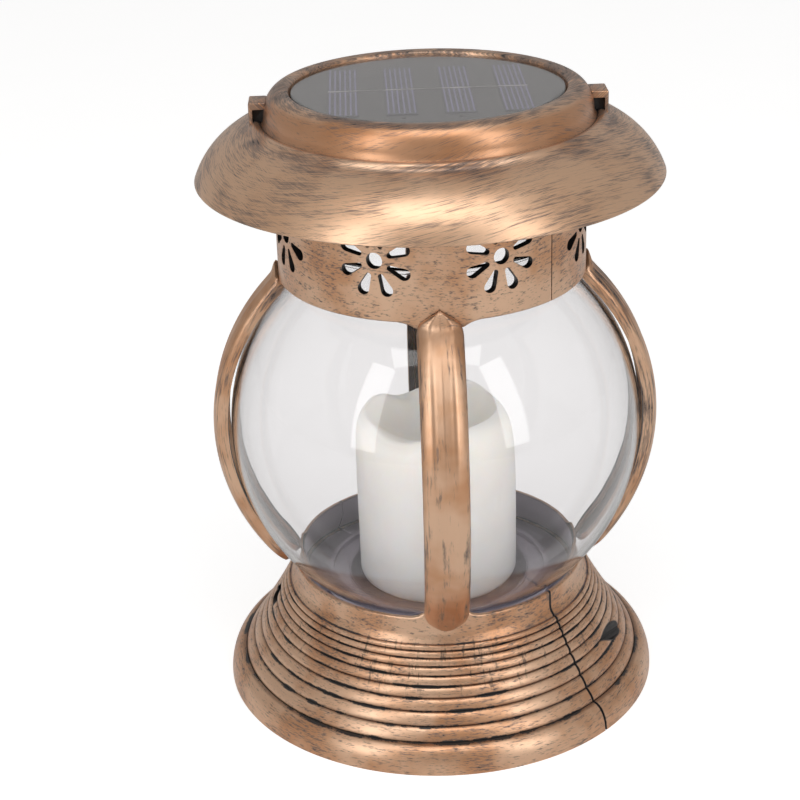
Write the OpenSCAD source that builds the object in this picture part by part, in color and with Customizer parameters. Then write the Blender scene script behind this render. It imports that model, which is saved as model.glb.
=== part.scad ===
// Solar garden lantern: a glass globe with a candle in a two-half ribbed frame, under a lift-off solar lid.
// Millimetres. The origin is the centre of the base on the ground, +Z is up and one rib faces -Y.

/* [Base] */
// Outer radius of the base rim on the ground
base_r = 69.8; // [66:0.1:72]
// Height of the rounded base rim
base_rim_h = 8.4; // [7:0.1:10]
// Radius of the neck that cups the bottom of the globe
neck_r = 47; // [46.5:0.1:48]
// Height of the neck's top edge
neck_top_z = 41.3; // [40.5:0.1:42]
// Height where the ridged flare begins below the neck
flare_top_z = 33.4; // [32.5:0.1:34]
// Number of turned ridges on the flare
ridge_count = 9; // [4:1:12]
// How much wider each ridge is than the one above it
ridge_growth = 1.12; // [1:0.01:1.2]
// Depth of the grooves between ridges
ridge_depth = 0.8; // [0.2:0.05:1]
// Wall thickness of the frame mouldings
shell_t = 2.3; // [2:0.1:2.8]

/* [Globe and ribs] */
// Height of the globe's centre
globe_z = 87.8; // [87:0.1:88.5]
// Outer radius of the glass globe
globe_r = 64.5; // [64:0.1:64.8]
// Wall thickness of the glass
glass_t = 1.8; // [1.2:0.1:2.4]
// Radius of the globe's neck
globe_neck_r = 40; // [39.5:0.1:40.5]
// Height of the globe's open lip
globe_lip_z = 152; // [148:0.5:154]
// Outer radius of a rib, from the globe's centre
rib_r = 70; // [69.5:0.1:70.2]
// Width of a rib
rib_w = 13.5; // [12:0.1:14.5]
// Depth of a rib
rib_depth = 4.7; // [4.4:0.1:4.8]

/* [Collar] */
// Outer radius of the pierced collar
collar_r = 47; // [46.8:0.1:47.2]
// Wall thickness of the collar
collar_t = 2.5; // [2.4:0.1:2.6]
// Height of the collar's bottom edge
collar_low_z = 138.2; // [137.5:0.1:138.5]
// Height of the collar's top edge, under the lid
collar_top_z = 175.5; // [175:0.1:176]
// Number of pierced flowers round the collar
flower_count = 8; // [4:4:8]
// Height of the flower centres
flower_z = 156.3; // [155.5:0.1:156.6]
// Overall radius of one flower
flower_r = 11.2; // [9:0.1:11.4]

/* [Candle] */
// Radius of the candle
candle_r = 25.7; // [22:0.1:27]
// Height of the highest point of the melted rim
candle_top_z = 94; // [80:0.5:100]

/* [Lid] */
// Outer radius of the brim
brim_r = 70.3; // [69.5:0.1:71]
// Height of the brim's lower edge
brim_low_z = 168.9; // [168.5:0.1:169.5]
// Height of the crest of the ring round the solar panel
ring_top_z = 195.3; // [195:0.1:195.5]
// Radius of the recess for the solar panel
panel_r = 41; // [40.9:0.1:41.2]
// Wall thickness of the lid
lid_t = 2.2; // [2:0.1:2.4]
// Turn from the entry slots to the locked position, in degrees
lock_turn = 22; // [16:1:24]
// Number of bayonet lugs
bayonet_count = 3; // [2:1:3]

/* [Power] */
// Diameter of the rechargeable cell
cell_d = 14.2; // [14:0.1:14.5]
// Length of the rechargeable cell with its nub
cell_len = 50.2; // [49.5:0.1:50.5]
// Travel of the power switch
switch_travel = 2.5; // [2:0.1:2.8]

/* [Hidden] */
$fn = 96;
eps = 0.01;

bronze = "#b8835a";
black = "#1c1a19";

// Base and flare
seam_gap = 0.12;
seam_turn = 45;
neck_in_r = neck_r - 1.6;
flare_top = [neck_r + 2, flare_top_z];
flare_end = [base_r - 5.1, base_rim_h - 0.2];
flare_run = flare_end - flare_top;
flare_len = norm(flare_run);
flare_dir = flare_run / flare_len;
flare_out = [-flare_dir[1], flare_dir[0]];
flare_sag = 0.6;
ridge_steps = 5;
rim_steps = 8;
ledge_z = 27.8;
ledge_t = 1.8;
ledge_in_r = 36;
ledge_r_out = 49.9;

// Globe
globe_floor_z = 31.6;
seat_z = ledge_z + ledge_t;
seat_t = 1.4;
seat_r = 37.5;

// Scoops in the candle's rim: direction, radius and depth
melt_dips = [[118, 14, 6.6], [234, 17, 6.2], [-8, 40, 1.5]];

// Ribs
rib_in_r = rib_r - rib_depth;
rib_sweep = 50;
rib_tip_z = 38.2;
arch_low_z = 136.3;
arch_top_z = 142.3;
arch_steps = 6;

// Collar
collar_in_r = collar_r - collar_t;
petal_out_w = 3.6;
petal_in_w = 1.7;
petal_in_r = 4.1;
hub_r = 2.45;

// Bayonet between lid and collar
skirt_r = collar_in_r - 0.7;
skirt_t = 2.2;
skirt_low_z = 166;
lug_reach = 1.9;
lug_z = 169;
lug_h = 2;
lug_w = 12;
slot_clear = 0.4;
seal_h = 1.3;
flange_z = collar_top_z + seal_h + 0.2;

// Frame screws: distance along the seam, height, depth of the head seat from the seam, side of the head
screw_spots = [[52.5, 17.9, 6, 1], [-38, 25, 7, -1]];
screw_bore_r = 2.5;
screw_boss_r = 3.7;
screw_head_r = 2.3;
screw_shank_r = 1.2;
screw_clear_r = 1.5;
screw_pilot_r = 1.25;
screw_reach = 8;

// Lid
brim_end = [brim_r, brim_low_z + 0.4];
dome_top = [53.6, 184.6];
dome_sag = 2.7;
dome_steps = 12;
bead_c = [51.2, 185.1];
bead_r = 1.7;
ring_c = [43.6, 188];
ring_a = 5.2;
ledge_top_z = 190.4;
ledge_r = 36;
ear_x = 47.8;
ear_len = 5.1;
ear_w = 9;
ear_low_z = 184.4;
ear_top_z = 192.4;
ear_recess = 1.9;
eye_r = 1.5;
eye_len = 4;
eye_z = 188.4;

// Battery box under the lid
box_r = 41.2;
box_t = 1.8;
box_low_z = 166.5;
box_floor_z = box_low_z + box_t;
box_top_z = 188.2;
boss_count = 3;
boss_at_r = 35.5;
boss_r = 3.2;
cell_y = 13;
cell_z = box_floor_z + 0.4 + cell_d / 2;
bay_half = 27.9;
door_open = [55, 16];
door_gap = 0.3;
door_t = 1.6;
door_y = cell_y;
hinge_y = 22.4;
hinge_z = box_low_z - 1.7;
hinge_barrel_r = 1.3;
hinge_pin_r = 0.7;
hinge_run = 0.05;
barrel_len = 8;
ear_gap = 0.3;
board_y = -5.5;
board_z = 171.2;
switch_y = -22;
switch_slot = [7, 3.2];

// Solar panel stack
seal_t = 0.7;
board_low_z = ledge_top_z + seal_t;
board_t = 1.2;
cell_low_z = board_low_z + board_t;
cells = 4;
cell_pitch = 16.7;
cell_w = 8.8;
cell_depth = 54;
cell_t = 0.3;
tab_t = 0.15;
cover_low_z = cell_low_z + cell_t + tab_t;
cover_top_z = 194.2;

// ---------------------------------------------------------------- outlines

// Point on the straight line of the flare at fraction s, drawn in by the sag, then out by lift
function flare_pt(s, lift = 0) =
  flare_top + flare_run * s + flare_out * (lift - flare_sag * sin(180 * s));
// Start of ridge i as a fraction of the flare, each ridge wider than the last
function ridge_at(i) = (pow(ridge_growth, i) - 1) / (pow(ridge_growth, ridge_count) - 1);
function ridge_lift(t) = ridge_depth * (sqrt(1 - pow(2 * t - 1, 2)) - 0.5);
function flare_outline() = [
  for (i = [0 : ridge_count - 1], k = [0 : ridge_steps - 1])
    let (t = k / ridge_steps, s = ridge_at(i) + (ridge_at(i + 1) - ridge_at(i)) * t)
      flare_pt(s, ridge_lift(t))
];
function rim_outline() = [
  for (k = [0 : rim_steps])
    let (a = 90 - 90 * k / rim_steps)
      [base_r - 5 + 5 * cos(a), base_rim_h * sin(a)]
];
// Arc from a to b that bulges by sag to the left of the way from a to b, ends included
function bulge_arc(a, b, sag, steps) =
  let (
    c = norm(b - a), r = (c * c / 4 + sag * sag) / (2 * sag), d = (b - a) / c,
    n = [-d[1], d[0]], o = (a + b) / 2 - n * (r - sag), h = asin(c / 2 / r)
  )
  [for (k = [0 : steps]) let (u = h * (2 * k / steps - 1)) o + n * r * cos(u) + d * r * sin(u)];
function arch_side(w) = [
  for (k = [0 : arch_steps])
    let (t = k / arch_steps) [w * cos(90 * t), arch_low_z + (arch_top_z - arch_low_z) * pow(t, 0.9)]
];

// ---------------------------------------------------------------- frame

module half_space(side) {
  rotate([0, 0, seam_turn]) translate([side * (200 + seam_gap / 2), 0, 100]) cube(400, center = true);
}

module base_shell() {
  difference() {
    rotate_extrude() polygon(concat(
      [[0, 0], [0, neck_top_z], [neck_r - 0.6, neck_top_z], [neck_r, neck_top_z - 0.6],
       [neck_r + 0.1, flare_top_z + 3], [neck_r + 0.7, flare_top_z + 1.2]],
      flare_outline(),
      rim_outline()
    ));
    rotate_extrude() polygon(concat(
      [[0, -eps], [0, neck_top_z + eps], [neck_in_r, neck_top_z + eps], [neck_in_r, flare_top_z + 3],
       flare_pt(0, -shell_t), flare_pt(0.5, -shell_t), flare_pt(0.96, -shell_t)],
      [[base_r - shell_t - 1, base_rim_h - shell_t - 1], [base_r - shell_t, -eps]]
    ));
  }
  // Ledge that carries the globe seat
  rotate_extrude() polygon([
    [ledge_in_r, ledge_z], flare_pt(0.2, -1.2) + [1, 0], [ledge_r_out, seat_z - 0.05], [ledge_in_r, seat_z - 0.05]
  ]);
}

module flower_cut() {
  circle(r = hub_r);
  for (k = [0 : 7]) rotate(22.5 + 45 * k) petal_cut();
}

// A teardrop between two round ends whose sides touch both circles
module petal_cut() {
  a = petal_in_r + petal_in_w / 2;
  b = flower_r - petal_out_w / 2;
  lean = acos((petal_in_w - petal_out_w) / 2 / (b - a));
  polygon(concat(
    [for (k = [-4 : 4]) [b, 0] + petal_out_w / 2 * [cos(lean * k / 4), sin(lean * k / 4)]],
    [for (k = [-2 : 2]) [a, 0] - petal_in_w / 2 * [cos((180 - lean) * k / 2), sin((180 - lean) * k / 2)]]
  ));
}

module ring(r_out, r_in, low_z, high_z) {
  rotate_extrude() polygon([[r_in, low_z], [r_out, low_z], [r_out, high_z], [r_in, high_z]]);
}

// Sector of a ring between two angles
module sector(r_out, r_in, low_z, high_z, from, to) {
  rotate([0, 0, from]) rotate_extrude(angle = to - from)
    polygon([[r_in, low_z], [r_out, low_z], [r_out, high_z], [r_in, high_z]]);
}

module collar_shell() {
  ring(collar_r, collar_in_r, collar_low_z, collar_top_z);
}

// Entry slot and locking run for one lug, on the inside of the collar
module bayonet_slot(at) {
  sector(skirt_r + lug_reach + 0.5, collar_in_r - 1, lug_z - slot_clear, lug_z + lug_h + slot_clear,
         at - lock_turn - lug_w / 2 - 1.5, at + lug_w / 2 + 1.4);
  sector(skirt_r + lug_reach + 0.3, collar_in_r - 0.8, lug_z + 0.6, collar_top_z + 1,
         at - lug_w / 2 - 1, at + lug_w / 2 + 1);
}

module rib_section() {
  w = rib_w / 2;
  polygon([
    [rib_in_r, -w + 0.2], [rib_r - 2.4, -w], [rib_r - 1.3, -w + 0.7], [rib_r - 0.45, -w + 2.2],
    [rib_r, -w + 3.6], [rib_r - 0.25, -w + 5], [rib_r - 0.6, 0], [rib_r - 0.25, w - 5],
    [rib_r, w - 3.6], [rib_r - 0.45, w - 2.2], [rib_r - 1.3, w - 0.7], [rib_r - 2.4, w],
    [rib_in_r, w - 0.2], [rib_in_r, 4.5], [rib_in_r + 1.9, 4.1], [rib_in_r + 1.9, -4.1], [rib_in_r, -4.5]
  ]);
}

// Outline of the rib seen from outside: a round foot below and a pointed arch above
module rib_front() {
  w = rib_w / 2;
  translate([0, rib_tip_z + w]) circle(r = w);
  translate([-w, rib_tip_z + w]) square([rib_w, arch_low_z - rib_tip_z - w]);
  polygon(concat(arch_side(w), [for (p = [arch_steps : -1 : 0]) [-arch_side(w)[p][0], arch_side(w)[p][1]]]));
}

// A flat outline in the tangent plane, pushed outwards along +X
module outward(from, to) {
  translate([from, 0, 0]) rotate([90, 0, 90]) linear_extrude(to - from) children();
}

module rib() {
  intersection() {
    difference() {
      union() {
        translate([0, 0, globe_z]) rotate([90, 0, 0]) rotate([0, 0, -rib_sweep])
          rotate_extrude(angle = 2 * rib_sweep) rib_section();
        // Shoulder where the rib stands out from the collar
        rotate([0, 0, -12]) rotate_extrude(angle = 24) polygon([
          [collar_in_r + 0.2, arch_low_z], [rib_r - 21.6, arch_low_z - 3], [rib_r - 19.6, arch_low_z - 3],
          [collar_r + 2.3, arch_low_z + 1.2],
          [collar_r + 1.4, arch_top_z - 1.5], [collar_r + 0.9, arch_top_z + 1], [collar_in_r + 0.2, arch_top_z + 1]
        ]);
      }
      ring(neck_in_r + 0.5, 0, 0, 60);
      ring(collar_in_r + 0.5, 0, 110, 160);
    }
    outward(30, 75) rib_front();
  }
}

// Small flared tips of the collar and of the neck beside each rib
module rib_tips() {
  w = rib_w / 2;
  intersection() {
    ring(collar_r - 0.04, collar_in_r + 0.3, arch_low_z - 1, collar_low_z + 1);
    outward(30, 60) for (s = [-1, 1]) scale([s, 1]) polygon([
      [0, collar_low_z + 0.5], [w - 0.3, arch_low_z], [w + 0.3, arch_low_z + 0.1], [w + 1.7, collar_low_z - 0.9],
      [w + 3.2, collar_low_z - 0.4], [w + 5.4, collar_low_z], [w + 5.4, collar_low_z + 0.5]
    ]);
  }
  intersection() {
    ring(neck_r - 0.04, neck_in_r + 0.3, neck_top_z - 1.5, neck_top_z + 2);
    outward(30, 60) for (s = [-1, 1]) scale([s, 1]) polygon([
      [0, neck_top_z - 1.2], [w + 4, neck_top_z - 1.2], [w + 3.4, neck_top_z - 0.1], [w + 1.6, neck_top_z + 0.5],
      [w + 0.5, neck_top_z + 1.5], [0, neck_top_z + 1.5]
    ]);
  }
}

// Places its children at a frame screw: +Z runs out of the head's mouth, Z = 0 is the seam
module at_screw(spot) {
  rotate([0, 0, seam_turn]) translate([0, -spot[0], spot[1]]) rotate([0, 90 * spot[3], 0]) children();
}

// Solid of the base's outer form, which trims the screw bosses
module base_form() {
  rotate_extrude() polygon(concat([[0, 0], [0, flare_top_z], flare_top], [for (k = [1 : 12]) flare_pt(k / 12, -0.3)],
                                  [[base_r - 6, 0]]));
}

module frame_half(side) {
  difference() {
    union() {
      intersection() {
        union() {
          base_shell();
          difference() {
            collar_shell();
            for (k = [0 : flower_count - 1]) rotate([0, 0, 22.5 + 360 / flower_count * k])
              outward(30, 60) translate([0, flower_z]) flower_cut();
            for (k = [0 : bayonet_count - 1]) bayonet_slot(90 + 360 / bayonet_count * k);
          }
          for (a = side < 0 ? [180, 270] : [0, 90]) rotate([0, 0, a]) {
            rib();
            rib_tips();
          }
        }
        half_space(side);
      }
      intersection() {
        for (spot = screw_spots) at_screw(spot)
          if (spot[3] == side) translate([0, 0, seam_gap / 2]) cylinder(r = screw_boss_r, h = 60);
          else translate([0, 0, -screw_reach - 2]) cylinder(r = screw_boss_r, h = screw_reach + 2 - seam_gap / 2);
        base_form();
      }
    }
    for (spot = screw_spots) at_screw(spot)
      if (spot[3] == side) {
        translate([0, 0, spot[2]]) cylinder(r = screw_bore_r, h = 70);
        translate([0, 0, -1]) cylinder(r = screw_clear_r, h = spot[2] + 2);
      } else translate([0, 0, -screw_reach]) cylinder(r = screw_pilot_r, h = screw_reach + 1);
  }
}

module frame_half_front() {
  color(bronze) frame_half(-1);
}

module frame_half_rear() {
  color(bronze) frame_half(1);
}

module frame_screws() {
  color("#8d9094") for (spot = screw_spots) at_screw(spot) {
    difference() {
      translate([0, 0, spot[2]]) cylinder(r = screw_head_r, h = 1.8);
      translate([0, 0, spot[2] + 0.9]) for (a = [0, 90]) rotate([0, 0, a])
        cube([2.8, 0.7, 2], center = true);
    }
    translate([0, 0, -screw_reach + 1.5]) cylinder(r = screw_shank_r, h = screw_reach - 1.5 + spot[2] + 0.2);
  }
}

// ---------------------------------------------------------------- globe and candle

module globe_form(r, neck, low_z, high_z) {
  intersection() {
    translate([0, 0, globe_z]) sphere(r = r);
    translate([0, 0, low_z]) cylinder(r = 80, h = globe_z + sqrt(r * r - neck * neck) - low_z);
  }
  translate([0, 0, globe_z + 30]) cylinder(r = neck, h = high_z - globe_z - 30);
}

module globe() {
  color([0.85, 0.9, 0.92, 0.35]) difference() {
    union() {
      globe_form(globe_r, globe_neck_r, globe_floor_z, globe_lip_z);
      // Rolled lip
      translate([0, 0, globe_lip_z - 0.9]) rotate_extrude() translate([globe_neck_r - 0.2, 0]) circle(r = 0.9);
    }
    globe_form(globe_r - glass_t, globe_neck_r - glass_t, globe_floor_z + 2, globe_lip_z + 2);
  }
}

module globe_seat() {
  color(black) difference() {
    union() {
      translate([0, 0, seat_z]) cylinder(r = seat_r, h = seat_t);
      ring(seat_r, seat_r - 1.6, seat_z, seat_z + seat_t + 1.2);
      ring(ledge_in_r - 0.4, ledge_in_r - 2.2, seat_z - 3, seat_z + eps);
    }
    for (a = [0 : 60 : 300]) rotate([0, 0, a]) translate([16, 0, seat_z - 1]) cylinder(r = 3, h = 5);
  }
}

module globe_pad() {
  color("#2a2a2c") ring(30.5, 23, seat_z + seat_t, globe_floor_z);
}

// Melted rim: a shallow bowl, and round channels that dip the rim where the wax has run
module candle() {
  low_z = globe_floor_z + 2;
  color("#efeae2") difference() {
    translate([0, 0, low_z]) cylinder(r = candle_r, h = candle_top_z - low_z);
    translate([0, 0, candle_top_z + 22]) sphere(r = 32.5);
    for (dip = melt_dips) rotate([0, 0, dip[0]]) translate([10, 0, candle_top_z - dip[2] + dip[1]])
      rotate([0, 90, 0]) cylinder(r = dip[1], h = 40);
    translate([0, 0, low_z - 1]) cylinder(r = candle_r - 2.2, h = candle_top_z - low_z - 22);
  }
}

// ---------------------------------------------------------------- lid

module lid_seal_ring() {
  color("#3a3a3c") ring(collar_r - 0.3, collar_in_r + 0.2, collar_top_z + 0.1, collar_top_z + seal_h + 0.1);
}

function ring_outline() = [
  for (k = [0 : 8]) let (a = 10 * k + 6) ring_c + [ring_a * cos(a), (ring_top_z - ring_c[1]) * sin(a)]
];
function bead_outline() = [for (k = [0 : 5]) let (a = 10 + 26 * k) bead_c + bead_r * [cos(a), sin(a)]];

module lid_body() {
  rotate_extrude() polygon(concat(
    [[brim_r - 0.3, brim_low_z]],
    [for (p = [dome_steps : -1 : 0]) bulge_arc(dome_top, brim_end, dome_sag, dome_steps)[p]],
    bead_outline(),
    [[ring_c[0] + ring_a + 0.3, ring_c[1] - 1.2]],
    ring_outline(),
    [[ring_c[0] - 0.8, ring_top_z - 0.1], [panel_r + 0.4, ring_top_z - 0.7], [panel_r, ring_top_z - 1.2],
     [panel_r, ledge_top_z], [ledge_r, ledge_top_z], [ledge_r, ledge_top_z - 1.8],
     [skirt_r - skirt_t, ledge_top_z - 1.8], [skirt_r - skirt_t, skirt_low_z], [skirt_r, skirt_low_z],
     [skirt_r, flange_z], [collar_r + 0.6, flange_z], [collar_r + 0.6, flange_z + 1.6],
     [skirt_r, flange_z + 1.6], [skirt_r, ledge_top_z - 2.2], [ring_c[0] + ring_a - lid_t, ledge_top_z - 2.6],
     [ring_c[0] + ring_a - lid_t + 0.2, bead_c[1] - 0.4], [dome_top[0] - 1.4, dome_top[1] - lid_t]],
    bulge_arc(dome_top - [1.4, lid_t], [brim_r - lid_t, brim_low_z], dome_sag, dome_steps)
  ));
}

// Handle ear: an outer leg and a top bar on a centre web, with a blind eye for a wire end
module ear() {
  difference() {
    translate([ear_x, -ear_w / 2, ear_low_z]) cube([ear_len, ear_w, ear_top_z - ear_low_z]);
    for (s = [-1, 1]) translate([ear_x + 0.1, s * (ear_w / 2 - ear_recess / 2 + 0.5), ear_low_z + 2.9])
      cube([2 * (ear_len - 1.1), ear_recess + 1, 6.2], center = true);
    translate([ear_x + ear_len - 1.4, 0, ear_top_z - 1.4]) difference() {
      translate([0, -ear_w, 0]) cube([2, 2 * ear_w, 2]);
      rotate([90, 0, 0]) cylinder(r = 1.4, h = 3 * ear_w, center = true);
    }
  }
}

module lid_shell() {
  color(bronze) difference() {
    union() {
      lid_body();
      difference() {
        for (a = [0, 180]) rotate([0, 0, a]) ear();
        ring(ring_c[0] + 2, 0, 180, 200);
      }
      for (k = [0 : bayonet_count - 1])
        sector(skirt_r + lug_reach, skirt_r - 0.5, lug_z, lug_z + lug_h,
               90 + 360 / bayonet_count * k - lug_w / 2, 90 + 360 / bayonet_count * k + lug_w / 2);
      for (k = [0 : boss_count - 1]) rotate([0, 0, 90 + 360 / boss_count * k]) translate([boss_at_r, 0, 0]) {
        translate([0, 0, box_floor_z + 0.1]) cylinder(r = boss_r, h = ledge_top_z - 0.5 - box_floor_z);
        translate([1, -1, box_top_z + 0.6]) cube([6, 2, ledge_top_z - 0.4 - box_top_z - 0.6]);
      }
    }
    for (k = [0 : boss_count - 1]) rotate([0, 0, 90 + 360 / boss_count * k])
      translate([boss_at_r, 0, box_floor_z - 1]) cylinder(r = screw_pilot_r, h = 12);
    for (a = [0, 180]) rotate([0, 0, a]) translate([ear_x + ear_len - eye_len, 0, eye_z])
      rotate([0, 90, 0]) cylinder(r = eye_r, h = eye_len + 1);
  }
}

module panel_seal() {
  color("#2a2a2c") ring(panel_r - 0.6, ledge_r + 0.8, ledge_top_z, ledge_top_z + seal_t);
}

module solar_panel_board() {
  color("#23262b") difference() {
    translate([0, 0, board_low_z]) cylinder(r = panel_r - 0.5, h = board_t);
    for (x = [-8, 8]) translate([x, -30, board_low_z - 1]) cylinder(r = 0.6, h = 4);
  }
}

module solar_cells() {
  color("#2b2b3c") for (k = [0 : cells - 1])
    translate([(k - (cells - 1) / 2) * cell_pitch - cell_w / 2, -cell_depth / 2, cell_low_z])
      cube([cell_w, cell_depth, cell_t]);
}

module cell_tabs() {
  half = (cells - 1) / 2 * cell_pitch + cell_w / 2;
  color("#c9c9c4") translate([-half, -0.3, cell_low_z + cell_t]) cube([2 * half, 0.6, tab_t]);
}

module solar_panel_cover() {
  color([0.4, 0.42, 0.45, 0.5]) translate([0, 0, cover_low_z]) {
    cylinder(r = panel_r - 0.25, h = cover_top_z - cover_low_z - 0.3);
    translate([0, 0, cover_top_z - cover_low_z - 0.3]) cylinder(r = panel_r - 0.5, h = 0.3);
  }
}

// ---------------------------------------------------------------- electronics under the lid

module battery_box() {
  wall = 1.2;
  color(black) difference() {
    union() {
      difference() {
        translate([0, 0, box_low_z]) cylinder(r = box_r, h = box_top_z - box_low_z);
        translate([0, 0, box_floor_z]) cylinder(r = box_r - box_t, h = 40);
      }
      // Walls of the battery bay
      translate([-bay_half - wall, cell_y - cell_d / 2 - 0.6 - wall, box_floor_z - eps]) difference() {
        cube([2 * (bay_half + wall), cell_d + 1.2 + 2 * wall, 11]);
        translate([wall, wall, -1]) cube([2 * bay_half, cell_d + 1.2, 20]);
      }
      // Posts that carry the circuit board
      for (x = [-12, 12], y = [-11, -1]) translate([x, y, box_floor_z - eps])
        cylinder(r = 1.6, h = board_z - box_floor_z);
      // Ears of the battery door's hinge
      for (x = [-18, 18], s = [-1, 1]) translate([x + s * (barrel_len / 2 + ear_gap + 0.8), hinge_y, hinge_z]) {
        rotate([0, 90, 0]) cylinder(r = hinge_barrel_r, h = 1.6, center = true);
        translate([-0.8, -hinge_barrel_r, 0]) cube([1.6, 2 * hinge_barrel_r, box_low_z - hinge_z + 0.5]);
      }
    }
    translate([-door_open[0] / 2, door_y - door_open[1] / 2, box_low_z - 1]) cube([door_open[0], door_open[1], box_t + 2]);
    translate([0, 0, box_low_z - 1]) cylinder(r = 4.3, h = 4);
    // Room for the lens flange under the bay wall
    translate([0, 0, box_floor_z]) cylinder(r = 5.7, h = 1.3);
    translate([-switch_slot[0] / 2, switch_y - switch_slot[1] / 2, box_low_z - 1])
      cube([switch_slot[0], switch_slot[1], 4]);
    for (k = [0 : boss_count - 1]) rotate([0, 0, 90 + 360 / boss_count * k]) translate([boss_at_r, 0, box_low_z]) {
      translate([0, 0, -1]) cylinder(r = screw_clear_r, h = 4);
      translate([0, 0, -1]) cylinder(r = 2.5, h = 1.8);
    }
    for (x = [-18, 18]) translate([x, hinge_y, hinge_z]) rotate([0, 90, 0])
      cylinder(r = hinge_pin_r, h = barrel_len + 8, center = true);
  }
}

module lid_screws() {
  color("#8d9094") for (k = [0 : boss_count - 1]) rotate([0, 0, 90 + 360 / boss_count * k])
    translate([boss_at_r, 0, box_low_z]) {
      difference() {
        translate([0, 0, -0.8]) cylinder(r = 2.2, h = 1.6);
        translate([0, 0, -0.6]) for (a = [0, 90]) rotate([0, 0, a]) cube([2.6, 0.6, 1.2], center = true);
      }
      translate([0, 0, 0.7]) cylinder(r = screw_shank_r, h = 8);
    }
}

module battery() {
  body_len = cell_len - 1.2;
  color("#3f6f4d") translate([-cell_len / 2 + 1.6, cell_y, cell_z]) rotate([0, 90, 0]) {
    cylinder(r = cell_d / 2, h = body_len);
    cylinder(r = 2.6, h = cell_len);
  }
}

module battery_contacts() {
  color("#b9bcc0") for (s = [-1, 1]) {
    translate([s * (bay_half - 0.3), cell_y, cell_z - 0.5]) cube([0.4, 11, 12], center = true);
    translate([s * (bay_half - 0.3), cell_y - 3, cell_z + 7.5]) cube([0.4, 3, 5], center = true);
  }
}

// Conical coil against the flat end of the cell
function coil_pt(k, turns, steps) =
  let (t = k / (turns * steps), a = 360 * k / steps, r = 4.6 - 2.2 * t) [t, r * cos(a), r * sin(a), a];
module battery_spring() {
  turns = 3;
  steps = 16;
  sides = 6;
  wire = 0.3;
  low_x = -bay_half + 0.85;
  length = (-cell_len / 2 + 1.6) - low_x - 0.4;
  n = turns * steps;
  points = [
    for (k = [0 : n], j = [0 : sides - 1])
      let (c = coil_pt(k, turns, steps), b = 360 * j / sides, r = norm([c[1], c[2]]))
        [low_x + c[0] * length + wire * sin(b),
         cell_y + (r + wire * cos(b)) * cos(c[3]), cell_z + (r + wire * cos(b)) * sin(c[3])]
  ];
  faces = concat(
    [[for (j = [sides - 1 : -1 : 0]) j]],
    [for (k = [0 : n - 1], j = [0 : sides - 1])
      let (m = (j + 1) % sides) [k * sides + j, k * sides + m, (k + 1) * sides + m, (k + 1) * sides + j]],
    [[for (j = [0 : sides - 1]) n * sides + j]]
  );
  color("#b9bcc0") polyhedron(points, faces, convexity = 6);
}

// Insulated wire that leaves a along +Z, arrives at b along +Z and swings out by sway on the way
function wire_pt(a, b, sway, t) =
  let (u = 3 * t * t - 2 * t * t * t)
    [a[0] + (b[0] - a[0]) * u + sway[0] * sin(180 * t), a[1] + (b[1] - a[1]) * u + sway[1] * sin(180 * t),
     a[2] + (b[2] - a[2]) * t + sway[2] * sin(180 * t)];
module wire(a, b, sway, r = 0.6) {
  n = 14;
  sides = 8;
  points = [
    for (k = [0 : n])
      let (
        c = wire_pt(a, b, sway, k / n), e = wire_pt(a, b, sway, k / n + 0.01) - wire_pt(a, b, sway, k / n - 0.01),
        d = e / norm(e), g = cross(d, [1, 0.02, 0]), u = g / norm(g), v = cross(d, u)
      )
        for (j = [0 : sides - 1]) c + r * (cos(360 * j / sides) * u + sin(360 * j / sides) * v)
  ];
  faces = concat(
    [[for (j = [0 : sides - 1]) j]],
    [for (k = [0 : n - 1], j = [0 : sides - 1])
      let (m = (j + 1) % sides) [k * sides + m, k * sides + j, (k + 1) * sides + j, (k + 1) * sides + m]],
    [[for (j = [sides - 1 : -1 : 0]) n * sides + j]]
  );
  polyhedron(points, faces, convexity = 6);
}

module battery_leads() {
  top = cell_z + 9.3;
  color("#b03028") for (s = [-1, 1])
    wire([s * 13, board_y - 2, board_z + 1.5], [s * (bay_half - 1.4), cell_y - 3, top], [0, -4, 4]);
}

module panel_leads() {
  color("#b03028") for (s = [-1, 1])
    wire([s * 6, board_y - 5, board_z + 1.5], [s * 8, -30, board_low_z + 0.3], [0, -3, 0], 0.5);
}

module circuit_board() {
  color("#2f6b45") difference() {
    translate([-16, board_y - 8, board_z]) cube([32, 16, 1.2]);
    for (x = [-1.27, 1.27]) translate([x, 0, board_z - 1]) cylinder(r = 0.5, h = 4);
  }
}

module boost_chip() {
  color("#202022") translate([-6, board_y - 1, board_z + 1.2]) {
    cube([4.2, 3.2, 1.5]);
    for (k = [0 : 3]) translate([0.3 + 1.05 * k, -1.2, 0]) cube([0.45, 1.25, 0.3]);
  }
}

module inductor() {
  color("#4a4a4c") translate([4.5, board_y + 1, board_z + 1.2]) rotate_extrude()
    polygon([[0, 0], [2.4, 0], [2.4, 0.8], [1.6, 1.1], [1.6, 3], [2.4, 3.3], [2.4, 4.2], [0, 4.2]]);
}

module led() {
  flange_at = box_floor_z + 0.6;
  color("#f4f1e4") {
    translate([0, 0, flange_at]) cylinder(r = 2.9, h = 1);
    translate([0, 0, flange_at - 4.6]) cylinder(r = 2.5, h = 4.7);
    translate([0, 0, flange_at - 4.6]) sphere(r = 2.5);
    for (x = [-1.27, 1.27]) translate([x, 0, flange_at]) cylinder(r = 0.25, h = board_z + 2.2 - flange_at);
  }
}

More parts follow.
